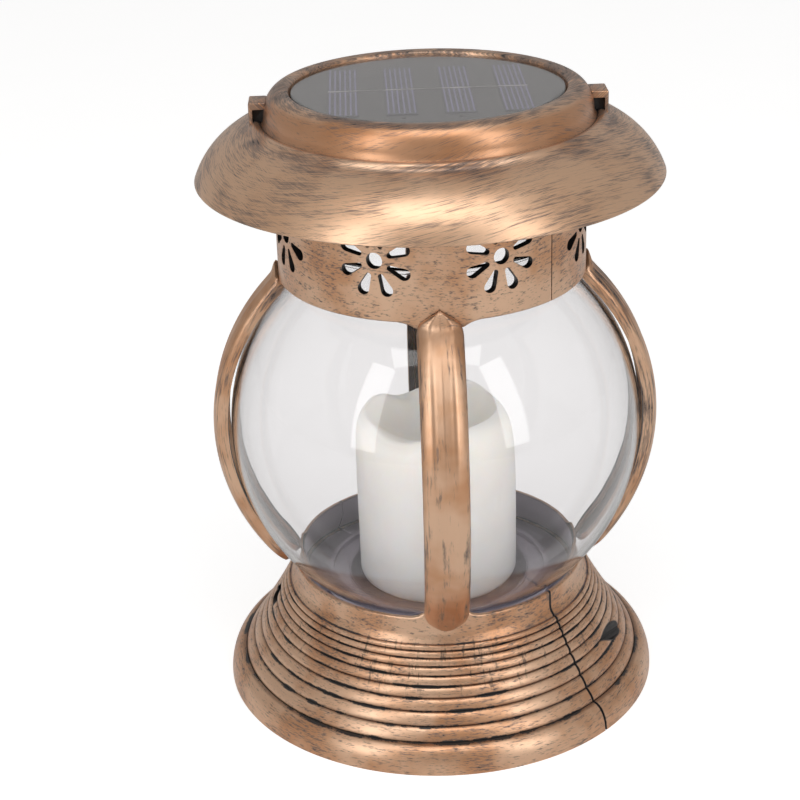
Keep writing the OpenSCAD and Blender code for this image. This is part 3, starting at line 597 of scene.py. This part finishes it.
MATERIALS = {
    "steel": brushed("screw_steel", linear(176, 178, 182), 0.25),
    "clear_glass": clear_glass(),
    "black_plastic": plastic("black_plastic", linear(30, 29, 30), linear(40, 38, 38), 0.42),
    # Painted light: the pad's pale violet-grey stands in for lamp reflections in the glass above it, over a pad in
    # shade
    "foam_pad": plastic("foam_pad", linear(200, 192, 205), linear(190, 183, 195), 0.8, 2.6, 0.0002),
    "candle_wax": candle_wax(),
    "seal_rubber": plastic("seal_rubber", linear(46, 45, 46), linear(58, 57, 58), 0.6, 1.8),
    "panel_backing": panel_film(),
    "solar_cell": plastic("solar_cell", linear(60, 57, 60), linear(68, 64, 68), 0.3, 3.0, 0.00001),
    "tinned_strip": brushed("tinned_strip", linear(200, 196, 192), 0.3, (3.0, 0.2, 3.0)),
    "panel_resin": resin(),
    "cell_sleeve": plastic("cell_sleeve", linear(66, 122, 84), linear(58, 110, 74), 0.22, 0.8, coat=0.4),
    "nickel_plate": brushed("nickel_plate", linear(190, 188, 182), 0.22),
    "wire_sleeve": plastic("wire_sleeve", linear(172, 44, 38), linear(150, 36, 32), 0.35, 1.6),
    "board_laminate": plastic("board_laminate", linear(44, 108, 66), linear(36, 92, 56), 0.3, 1.5, coat=0.3),
    "chip_epoxy": plastic("chip_epoxy", linear(34, 34, 36), linear(44, 44, 46), 0.55, 2.4),
    "ferrite": plastic("ferrite", linear(74, 74, 76), linear(60, 60, 62), 0.6, 2.0),
    "led_epoxy": plastic("led_epoxy", linear(238, 234, 214), linear(228, 222, 196), 0.12, 0.8, coat=0.5),
    "frosted_lens": plastic("frosted_lens", linear(232, 231, 226), linear(222, 221, 216), 0.5, 1.4, coat=0.2),
}
COPPER_FRAME = antique_copper("antique_copper_frame", "frame")
COPPER_LID = antique_copper("antique_copper_lid", "lid")


def dress(o, mat):
    o.data.materials.clear()
    o.data.materials.append(mat)


def piece(o, body, slot, nodes=(), mat=None, sharp=32):
    """Finish a new piece: shading, material and body; slot picks the material when none is given."""
    smooth(o, sharp)
    dress(o, mat or MATERIALS[slot])
    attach(o, body)
    if nodes:
        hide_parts(*nodes)
    return o


# ------------------------------------------------------------------ frame halves


def rib_distance(angle):
    """Sideways distance from the nearest rib's middle at radius 47, in mm."""
    a = (angle + 45) % 90 - 45
    return abs(NECK_R * math.sin(rad(a)))


def step_curve(table, u):
    xs, ys = zip(*table)
    return float(np.interp(u, xs, ys))


NECK_TIP = ((6.75, 1.5), (7.3, 1.45), (8.4, 0.55), (10.2, 0.1), (11.5, 0.0))
COLLAR_TIP = ((6.75, -1.9), (7.1, -1.75), (8.4, -0.95), (10.0, -0.35), (12.2, 0.0))


def neck_edge(r, z, angle):
    if z < NECK_TOP - 1.3:
        return z
    share = min(1.0, (z - NECK_TOP + 1.3) / 1.3)
    return z + share * step_curve(NECK_TIP, rib_distance(angle))


def collar_edge(r, z, angle):
    if z > COLLAR_LOW + 2.5:
        return z
    return z + (1 - (z - COLLAR_LOW) / 2.5) * step_curve(COLLAR_TIP, rib_distance(angle))


def ridge_at(i):
    return (RIDGE_GROWTH**i - 1) / (RIDGE_GROWTH**RIDGES - 1)


def base_profile():
    outer = arc((NECK_R - 0.6, NECK_TOP - 0.6), 0.6, 90, 0, 7)
    outer += [(47.03, 39.4), (47.06, 38.2), (47.1, 36.4), (47.25, 35.4), (47.7, 34.6), (48.2, 33.9)]
    for i in range(RIDGES):
        for k in range(14):
            t = (1 - math.cos(math.pi * k / 14)) / 2
            s = ridge_at(i) + (ridge_at(i + 1) - ridge_at(i)) * t
            outer.append(tuple(flare(s, RIDGE_DEPTH * (math.sqrt(max(0, 1 - (2 * t - 1) ** 2)) - 0.5))))
    outer += [(BASE_R - 5 + 5 * math.cos(rad(a)), RIM_H * math.sin(rad(a))) for a in np.linspace(90, 0, 22)]
    inner = [(BASE_R - WALL, 0.0), (BASE_R - WALL - 1, RIM_H - WALL - 1)]
    inner += [tuple(flare(s, -WALL)) for s in (0.96, 0.75, 0.5, 0.35)]
    inner += [(49.4, 27.8), (36.0, 27.8), (36.0, 29.6), (48.5, 29.6), tuple(flare(0, -WALL)), (NECK_IN_R, 36.4)]
    inner += [(NECK_IN_R, 38.5), (NECK_IN_R, NECK_TOP - 0.3), (NECK_IN_R + 0.3, NECK_TOP)]
    return outer + inner


def rib_path():
    """Middle line of the rib's outer face from foot to arch: points and outward normals."""
    low = math.degrees(math.asin((RIB_FOOT - GLOBE_Z) / RIB_R))
    pts = arc((0, GLOBE_Z), RIB_R, low, 43.0, 86)
    lean_in = [pts[-1], (49.5, 137.6), (48.9, 139.4), (48.3, 141.2), (47.7, ARCH_TOP)]
    pts += [tuple(p) for p in curve_through(lean_in, 4)[1:]]
    p = np.array(pts)
    d = np.gradient(p, axis=0)
    d /= np.linalg.norm(d, axis=1)[:, None]
    return p, np.stack([d[:, 1], -d[:, 0]], axis=1)


RIB_FACE = ((1.0, 2.4), (0.9, 1.3), (0.675, 0.45), (0.467, 0.0), (0.26, 0.25), (0.0, 0.6))


def rib_width(z):
    if z < RIB_FOOT + RIB_HALF:
        return math.sqrt(max(0.02, RIB_HALF**2 - (RIB_FOOT + RIB_HALF - z) ** 2))
    if z > ARCH_LOW:
        t = min(1.0, ((z - ARCH_LOW) / (ARCH_TOP - ARCH_LOW)) ** (1 / 0.9))
        return max(0.25, RIB_HALF * math.cos(math.pi / 2 * t))
    return RIB_HALF


def rib(angle):
    """Curved rib with two rounded edges and a hollow between them, narrowing to a round foot and a pointed arch."""
    half = curve_through([(w, -d) for w, d in RIB_FACE], 5)
    face = [(w, d) for w, d in half] + [(-w, d) for w, d in half[::-1][1:]]
    inner = [(-0.97, -4.7), (-0.667, -4.7), (-0.61, -2.8), (0.61, -2.8), (0.667, -4.7), (0.97, -4.7)]
    section = [face[k] for k in range(len(face) - 1, -1, -1)]
    section = section + inner[::-1] if section[-1][0] > 0 else section + inner
    path, normals = rib_path()
    rows = []
    c, s = math.cos(rad(angle)), math.sin(rad(angle))
    for (pr, pz), (nr, nz) in zip(path, normals):
        w = rib_width(pz)
        flat = min(1.0, 0.35 + 0.65 * w / RIB_HALF)
        row = []
        for u, depth in section:
            depth = depth * flat if depth > -2.5 else depth
            r, z = pr + nr * depth, pz + nz * depth
            if pz < 60:
                r = max(r, NECK_IN_R + 0.5)
            elif pz > 110:
                r = max(r, COLLAR_IN + 0.5)
            side = u * w
            row.append((r * c - side * s, r * s + side * c, z))
        rows.append(row)
    return grid_object("rib", rows, False, True, caps=True)


def petal():
    a, b = PETAL_START + PETAL_IN / 2, FLOWER_R - PETAL_OUT / 2
    lean = math.degrees(math.acos((PETAL_IN - PETAL_OUT) / 2 / (b - a)))
    return arc((b, 0), PETAL_OUT / 2, -lean, lean, 17) + arc((a, 0), PETAL_IN / 2, lean, 360 - lean, 11)


def flower_tools(angle):
    tools = [prism("cut", arc((0, FLOWER_Z), HUB_R, 0, 345, 24), outward(angle), 35, 60)]
    for k in range(8):
        c, s = math.cos(rad(22.5 + 45 * k)), math.sin(rad(22.5 + 45 * k))
        turned = [(u * c - v * s, FLOWER_Z + u * s + v * c) for u, v in petal()]
        tools.append(prism("cut", turned, outward(angle), 35, 60))
    return tools


def frame_half(name, side):
    """side -1 is the half with the front rib, +1 the rear one."""
    start = SEAM if side < 0 else SEAM - 180
    gap = math.degrees(SEAM_GAP / 47)
    a0, a1 = start + gap, start + 180 - gap
    body = revolve(name, base_profile(), 181, a0, a1, neck_edge)
    collar = densify([(COLLAR_IN + 0.3, COLLAR_LOW), (COLLAR_R - 0.4, COLLAR_LOW), (COLLAR_R, COLLAR_LOW + 0.4),
                      (COLLAR_R, COLLAR_TOP - 0.4), (COLLAR_R - 0.4, COLLAR_TOP), (COLLAR_IN, COLLAR_TOP),
                      (COLLAR_IN, COLLAR_LOW + 0.3)], 1.5)
    collar = revolve("collar", collar, 181, a0, a1, collar_edge)
    tools = []
    for f in [22.5 + 45 * k for k in range(8)]:
        if 8 < (f - start) % 360 < 172:
            tools += flower_tools(f)
    # Bayonet slots: a way in from the top and a track that the lug turns along
    for at in LUGS_AT:
        tools.append(revolve("track", box_points(43.5, 46.2, 168.6, 171.4), 40, at - 29.5, at + 7.4))
        tools.append(revolve("way_in", box_points(43.7, 46.0, 169.6, 176.5), 20, at - 7, at + 7))
    combine(collar, tools, "DIFFERENCE")
    middles = [180, 270] if side < 0 else [0, 90]
    combine(body, [collar] + [rib(a) for a in middles], "UNION")
    bosses, holes = [], []
    for across, height, face, seat in SCREWS:
        turn = Matrix.Rotation(rad(45), 4, "Z")
        m = turn @ Matrix.Translation((0, -across, height)) @ Matrix.Rotation(rad(90 * face), 4, "Y")
        if face == side:
            bosses.append(prism("boss", circle(SCREW_BOSS_R, 36), m, SEAM_GAP, 60.0))
            holes.append(prism("hole", circle(SCREW_HEAD_R, 36), m, seat, 70.0))
            holes.append(prism("hole", circle(SCREW_SHANK_R, 24), m, -1.0, seat + 2.0))
        else:
            bosses.append(prism("boss", circle(SCREW_BOSS_R, 36), m, -10.0, -SEAM_GAP))
            holes.append(prism("hole", circle(SCREW_PILOT_R, 24), m, -8.0, 1.0))
    # The bosses end inside the wall of the flare
    form = [(0.02, 0), (0.02, 33.4), (48.6, 33.2)]
    form += [tuple(flare(k / 12, -0.7)) for k in range(1, 13)] + [(BASE_R - 6, 0)]
    for boss in bosses:
        combine(boss, [revolve("form", form, 96)], "INTERSECT")
    combine(body, bosses, "UNION")
    combine(body, holes, "DIFFERENCE")
    return body


front = piece(frame_half("frame_front_half", -1), "frame", "antique_copper", ["frame_half_front"], COPPER_FRAME, 40)
rear = piece(frame_half("frame_rear_half", 1), "frame", "antique_copper", ["frame_half_rear"], COPPER_FRAME, 40)

# ------------------------------------------------------------------ globe and candle


def globe_profile():
    def wall(r, neck, floor, lip, corner):
        low = math.degrees(math.asin((floor - GLOBE_Z) / r))
        high = math.degrees(math.acos(neck / r))
        pts = [(0.02, floor)] + [(k, floor) for k in np.linspace(6, r * math.cos(rad(low)) - corner, 6)]
        a = arc((0, GLOBE_Z), r, low + 3.0, high - 2.5, 110)
        soft = curve_through([pts[-1], (r * math.cos(rad(low)) - 0.25 * corner, floor + 0.3 * corner), a[0]], 5)
        pts = pts[:-1] + [tuple(p) for p in soft[:-1]] + a
        top_z = GLOBE_Z + r * math.sin(rad(high))
        neck_curve = curve_through([a[-1], (neck + 0.35, top_z + 0.6), (neck, top_z + 3.0)], 5)
        pts += [tuple(p) for p in neck_curve[1:]]
        return pts + [(neck, z) for z in np.linspace(top_z + 4.5, lip, 6)]

    outer = wall(GLOBE_R, GLOBE_NECK, GLOBE_FLOOR, GLOBE_LIP - 1.8, 2.2)
    inner = wall(GLOBE_R - GLASS, GLOBE_NECK - GLASS, GLOBE_FLOOR + 2, GLOBE_LIP - 1.0, 1.6)
    lip = arc((GLOBE_NECK - 0.2, GLOBE_LIP - 0.9), 0.95, -70, 150, 10)
    return outer + lip + inner[::-1]


globe = piece(revolve("glass_globe", globe_profile(), 256), "frame", "clear_glass", ["globe"], sharp=60)

RIM_HEIGHTS = ((-147, 86.9), (-133, 90.0), (-119, 91.4), (-107, 90.9), (-85, 91.0), (-64, 90.6),
               (-45, 87.9), (-28, 87.7), (-12, 89.6), (8, 91.8), (29, 93.2), (57, 92.8), (90, 92.0),
               (120, 91.7), (137, 92.9), (156, 92.9), (180, 90.0), (200, 87.1), (213, 86.9))


def rim_height(angle):
    """Height of the melted rim; the angle starts at -Y and grows towards +X."""
    return step_curve(RIM_HEIGHTS, (angle + 147) % 360 - 147)


BOWL_EDGE, SOFT = 22.6, 0.8


def slump(below, dx):
    """How far the melted side leans in at a depth below the rim; it leans more on the +X side."""
    return 3.9 * math.exp(-below / 2.8) + 3.4 * max(0.0, dx) ** 1.5 * math.exp(-below / 9.0)


def candle_object():
    n = 180
    heights = np.array([rim_height(360 * k / n - 180) for k in range(n)])
    kernel = np.exp(-np.linspace(-2, 2, 13) ** 2)
    kernel /= kernel.sum()
    heights = np.convolve(np.concatenate([heights[-6:], heights, heights[:6]]), kernel, "valid")
    grid = []
    for k in range(n):
        a = rad(360 * k / n - 180)
        dx, dy = math.sin(a), -math.cos(a)
        rim = heights[k]
        row = [(0.05, CANDLE_LOW), (10, CANDLE_LOW), (CANDLE_R - 1.2, CANDLE_LOW), (CANDLE_R - 0.3, CANDLE_LOW + 0.3)]
        row += [(CANDLE_R, CANDLE_LOW + 1.2)]
        for z in np.concatenate([np.linspace(38, rim - 15, 8), np.linspace(rim - 13, rim - 0.7, 16)]):
            row.append((CANDLE_R - slump(rim - z, dx), z))
        crest = row[-1][0]
        for r in np.linspace(crest - 0.4, 0.05, 34):
            wide = min(r * BOWL_EDGE / crest, 30)
            bowl = 114.8 - math.sqrt(32.5**2 - wide**2)
            z = 80 - SOFT * math.log(math.exp((80 - bowl) / SOFT) + math.exp((80 - rim) / SOFT))
            row.append((r, z))
        grid.append([(r * dx, r * dy, z) for r, z in row])
    nv = len(grid[0])
    verts = [p for row in grid for p in row]
    faces = []
    for u in range(n):
        for v in range(nv - 1):
            w = (u + 1) % n
            faces.append((u * nv + v, w * nv + v, w * nv + v + 1, u * nv + v + 1))
    faces.append(tuple(u * nv for u in reversed(range(n))))
    faces.append(tuple(u * nv + nv - 1 for u in range(n)))
    o = mesh_object("candle_body", verts, faces)
    face_out(o)
    return o


candle = piece(candle_object(), "frame", "candle_wax", ["candle"], sharp=80)

# ------------------------------------------------------------------ lid


def lid_profile():
    brim_end, dome_top, sag = (70.3, 169.3), (53.6, 184.6), 2.7
    under_top, under_end = (52.2, 182.4), (68.1, 168.9)
    p = [(69.6, 168.9), (70.1, 169.0)]
    p += bulge(dome_top, brim_end, sag, 40)[::-1]
    p += arc((51.2, 185.1), 1.7, 10, 150, 14)
    p += [(49.0, 186.9)]
    for t in np.linspace(rad(4), rad(92), 30):
        p.append((RING_C[0] + RING_A * math.cos(t), RING_C[1] + (RING_TOP - RING_C[1]) * math.sin(t)))
    p += arc((PANEL_R + 1.0, RING_TOP - 1.1), 0.95, 90, 180, 7)
    p += [(PANEL_R, RING_TOP - 1.4), (PANEL_R, LEDGE_TOP), (LEDGE_R, LEDGE_TOP), (LEDGE_R, LEDGE_TOP - 1.8)]
    p += [(SKIRT_R - SKIRT_T, LEDGE_TOP - 1.8), (SKIRT_R - SKIRT_T, SKIRT_LOW)]
    p += [(SKIRT_R, SKIRT_LOW), (SKIRT_R, FLANGE_Z)]
    p += [(COLLAR_R + 0.6, FLANGE_Z), (COLLAR_R + 0.6, FLANGE_Z + 1.6), (SKIRT_R, FLANGE_Z + 1.6)]
    p += [(SKIRT_R, LEDGE_TOP - 2.2), (RING_C[0] + RING_A - 2.2, LEDGE_TOP - 2.6), (46.8, 184.7), under_top]
    p += bulge(under_top, under_end, sag, 24)[1:]
    return p


def handle_ear(mirror):
    """Small square ear: an outer leg and a top bar on a centre web, with a round-edged top and a blind eye."""
    body = round_box("ear", EAR_LOW, EAR_HIGH, EAR_EDGE, 3)
    recesses = ((2.4, 5.4), (-5.4, -2.4))
    tools = [round_box("cut", (40.0, lo, 184.0), (51.8, hi, 190.4), 0.3, 2) for lo, hi in recesses]
    sideways = Matrix.Rotation(rad(90), 4, "Y")
    tools.append(prism("cut", arc((-EYE_Z, 0), EYE_R, 0, 350, 30), sideways, EYE_FLOOR, 60.0))
    combine(body, tools, "DIFFERENCE")
    if mirror:
        body.data.transform(Matrix.Rotation(math.pi, 4, "Z"))
    return body


def lid_object():
    body = revolve("lid_cover", lid_profile(), 288)
    lugs = []
    for at in LUGS_AT:
        section = box_points(SKIRT_R - 0.5, SKIRT_R + LUG_REACH, LUG_Z, LUG_Z + LUG_H)
        lugs.append(revolve("lug", section, 8, at - LUG_HALF, at + LUG_HALF))
        m = Matrix.Rotation(rad(at), 4, "Z") @ Matrix.Translation((LID_BOSS_AT, 0, 0))
        lugs.append(prism("boss", circle(LID_BOSS_R, 36), m, 168.4, 189.9))
        lugs.append(prism("web", box_points(1, 7, -1, 1), m, 188.8, 190.0))
    combine(body, lugs + [handle_ear(False), handle_ear(True)], "UNION")
    return body


lid = piece(lid_object(), "lid", "antique_copper", ["lid_shell"], COPPER_LID, 38)

# Clear resin over the cells, with a rounded edge and the faint rise of a poured face
resin_profile = [(0.02, 192.8), (20, 192.8), (40.75, 192.8)] + arc((40.15, 193.55), 0.6, 0, 90, 6)
resin_profile += [(r, 194.15 + 0.05 * (1 - (r / 40) ** 2)) for r in (38, 30, 20, 10)] + [(0.02, 194.2)]
cover = piece(revolve("panel_resin_face", resin_profile, 200), "lid", "panel_resin", ["solar_panel_cover"], sharp=50)

# Printed silver fingers on the four cells, and a wider pad on each where the joining strip crosses it
FINGER, FINGER_PITCH, PITCH, CELL_TOP = 0.5, 1.5, 16.7, 192.6
FINGER_PRINT = plastic("finger_print", linear(122, 116, 146), linear(114, 108, 138), 0.4, 3.0, 0.00001)
for k in range(4):
    middle = (k - 1.5) * PITCH
    bars = []
    for j in range(6):
        x = middle + (j - 2.5) * FINGER_PITCH
        low, high = (x - FINGER / 2, -26.0, CELL_TOP - 0.05), (x + FINGER / 2, 26.0, CELL_TOP + 0.06)
        bars.append(round_box("bar", low, high, 0.04, 1))
    fingers = combine(bars[0], bars[1:], "UNION")
    fingers.name = f"cell_fingers_{k + 1}"
    piece(fingers, "lid", "tinned_strip", mat=FINGER_PRINT)
    low, high = (middle - 4.3, -0.45, CELL_TOP + 0.02), (middle + 4.3, 0.45, CELL_TOP + 0.18)
    piece(round_box(f"bus_pad_{k + 1}", low, high, 0.06, 1), "lid", "tinned_strip")

# ------------------------------------------------------------------ CAD nodes that stay, each with its finish

FINISH = {
    "frame_screws": "steel", "globe_seat": "black_plastic", "globe_pad": "foam_pad", "lid_seal_ring": "seal_rubber",
    "panel_seal": "seal_rubber", "solar_panel_board": "panel_backing", "solar_cells": "solar_cell",
    "cell_tabs": "tinned_strip", "battery_box": "black_plastic", "lid_screws": "steel", "battery": "cell_sleeve",
    "battery_contacts": "nickel_plate",
    "battery_spring": "nickel_plate", "battery_leads": "wire_sleeve", "panel_leads": "wire_sleeve",
    "circuit_board": "board_laminate", "boost_chip": "chip_epoxy", "inductor": "ferrite", "led": "led_epoxy",
    "led_lens": "frosted_lens", "switch_housing": "nickel_plate", "switch_slider": "black_plastic",
    "battery_door": "black_plastic", "door_hinge_pin": "steel",
}
for node, slot in FINISH.items():
    dress(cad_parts[node], MATERIALS[slot])
# Painted light: the seat under the globe is given a pale violet-grey, a painted reflection of the lamps in the glass
# over a part in shade
dress(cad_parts["globe_seat"], plastic("seat_painted_sheen", linear(204, 196, 210), linear(196, 188, 201), 0.3))

# ------------------------------------------------------------------ camera, floor and light

SWING, PITCH_DOWN, PAN, ROLL = rad(-2.3), rad(24.08), rad(-1.189), rad(-1.777)
AWAY, HEIGHT = 0.531, 0.331


def camera_matrix():
    fw = Vector((math.sin(PAN) * math.cos(PITCH_DOWN), math.cos(PAN) * math.cos(PITCH_DOWN), -math.sin(PITCH_DOWN)))
    right = fw.cross(Vector((0, 0, 1))).normalized()
    up = right.cross(fw)
    r2 = math.cos(ROLL) * right + math.sin(ROLL) * up
    u2 = -math.sin(ROLL) * right + math.cos(ROLL) * up
    m = Matrix((r2, u2, -fw)).transposed().to_4x4()
    m.translation = Vector((0, -AWAY, HEIGHT))
    return Matrix.Rotation(SWING, 4, "Z") @ m


cam = bpy.data.objects.new("camera", bpy.data.cameras.new("camera"))
cam.data.lens, cam.data.sensor_width = 82.7, 36
cam.data.clip_start = 0.01
cam.matrix_world = camera_matrix()
bpy.context.scene.collection.objects.link(cam)
bpy.context.scene.camera = cam


def softbox(name, azimuth, elevation, distance, width, height, radiance, tint=(1, 1, 1)):
    """Area light that faces the object from an azimuth (0 is -Y, growing towards +X) and elevation, in degrees."""
    a, e = rad(azimuth), rad(elevation)
    d = Vector((math.sin(a) * math.cos(e), -math.cos(a) * math.cos(e), math.sin(e)))
    light = bpy.data.lights.new(name, "AREA")
    light.shape, light.size, light.size_y = "RECTANGLE", width, height
    light.energy = radiance * math.pi * width * height
    light.color = tint
    o = bpy.data.objects.new(name, light)
    o.matrix_world = d.to_track_quat("Z", "Y").to_matrix().to_4x4()
    o.matrix_world.translation = Vector((0, 0, 0.09)) + d * distance
    bpy.context.scene.collection.objects.link(o)


softbox("strip_left", -41.3, 24.6, 1.2, 0.30, 0.97, 2.6)
softbox("strip_right", 41.7, 24.6, 1.2, 0.30, 0.97, 2.6)
softbox("overhead_front", 0, 66, 1.2, 1.0, 0.6, 2.0)

floor = revolve("floor", [(0.5, -6.0), (2600.0, -6.0), (2600.0, 0.0), (0.5, 0.0)], 96)
n = Nodes("pale_floor")
mm = n.position()[0]
n.set(Base_Color=n.mix(n.noise(mm, 0.02, 2.0, 0.5), (0.60, 0.60, 0.60), (0.62, 0.62, 0.62)), Roughness=0.9)
bounced = n.add("ShaderNodeLightPath").outputs
mirrored = n.math("MINIMUM", bounced["Glossy Depth"], 1.0)
lit = n.math("MAXIMUM", mirrored, bounced["Is Diffuse Ray"])
n.set(Emission_Color=(1, 1, 1), Emission_Strength=n.minus(0.67, n.mul(lit, 0.5)))
dress(floor, n.mat)

# The world is white to the camera and through glass, and a dimmer room to mirrored and diffuse bounces
world = bpy.data.worlds.new("studio")
bpy.context.scene.world = world
world.use_nodes = True
wt = world.node_tree
wt.nodes.clear()
w_out = wt.nodes.new("ShaderNodeOutputWorld")
white, room = wt.nodes.new("ShaderNodeBackground"), wt.nodes.new("ShaderNodeBackground")
white.inputs[0].default_value = (1, 1, 1, 1)
white.inputs[1].default_value = 1.0
room.inputs[0].default_value = (1.0, 0.985, 0.97, 1)
room.inputs[1].default_value = 0.40
chooser, path = wt.nodes.new("ShaderNodeMixShader"), wt.nodes.new("ShaderNodeLightPath")
mirrored, bounce = wt.nodes.new("ShaderNodeMath"), wt.nodes.new("ShaderNodeMath")
mirrored.operation, bounce.operation = "MINIMUM", "MAXIMUM"
mirrored.inputs[1].default_value = 1.0
for source, target in (
    (path.outputs["Glossy Depth"], mirrored.inputs[0]), (mirrored.outputs[0], bounce.inputs[0]),
    (path.outputs["Is Diffuse Ray"], bounce.inputs[1]), (bounce.outputs[0], chooser.inputs[0]),
    (white.outputs[0], chooser.inputs[1]), (room.outputs[0], chooser.inputs[2]),
    (chooser.outputs[0], w_out.inputs[0]),
):
    wt.links.new(source, target)
bpy.context.scene.view_settings.view_transform = "Standard"
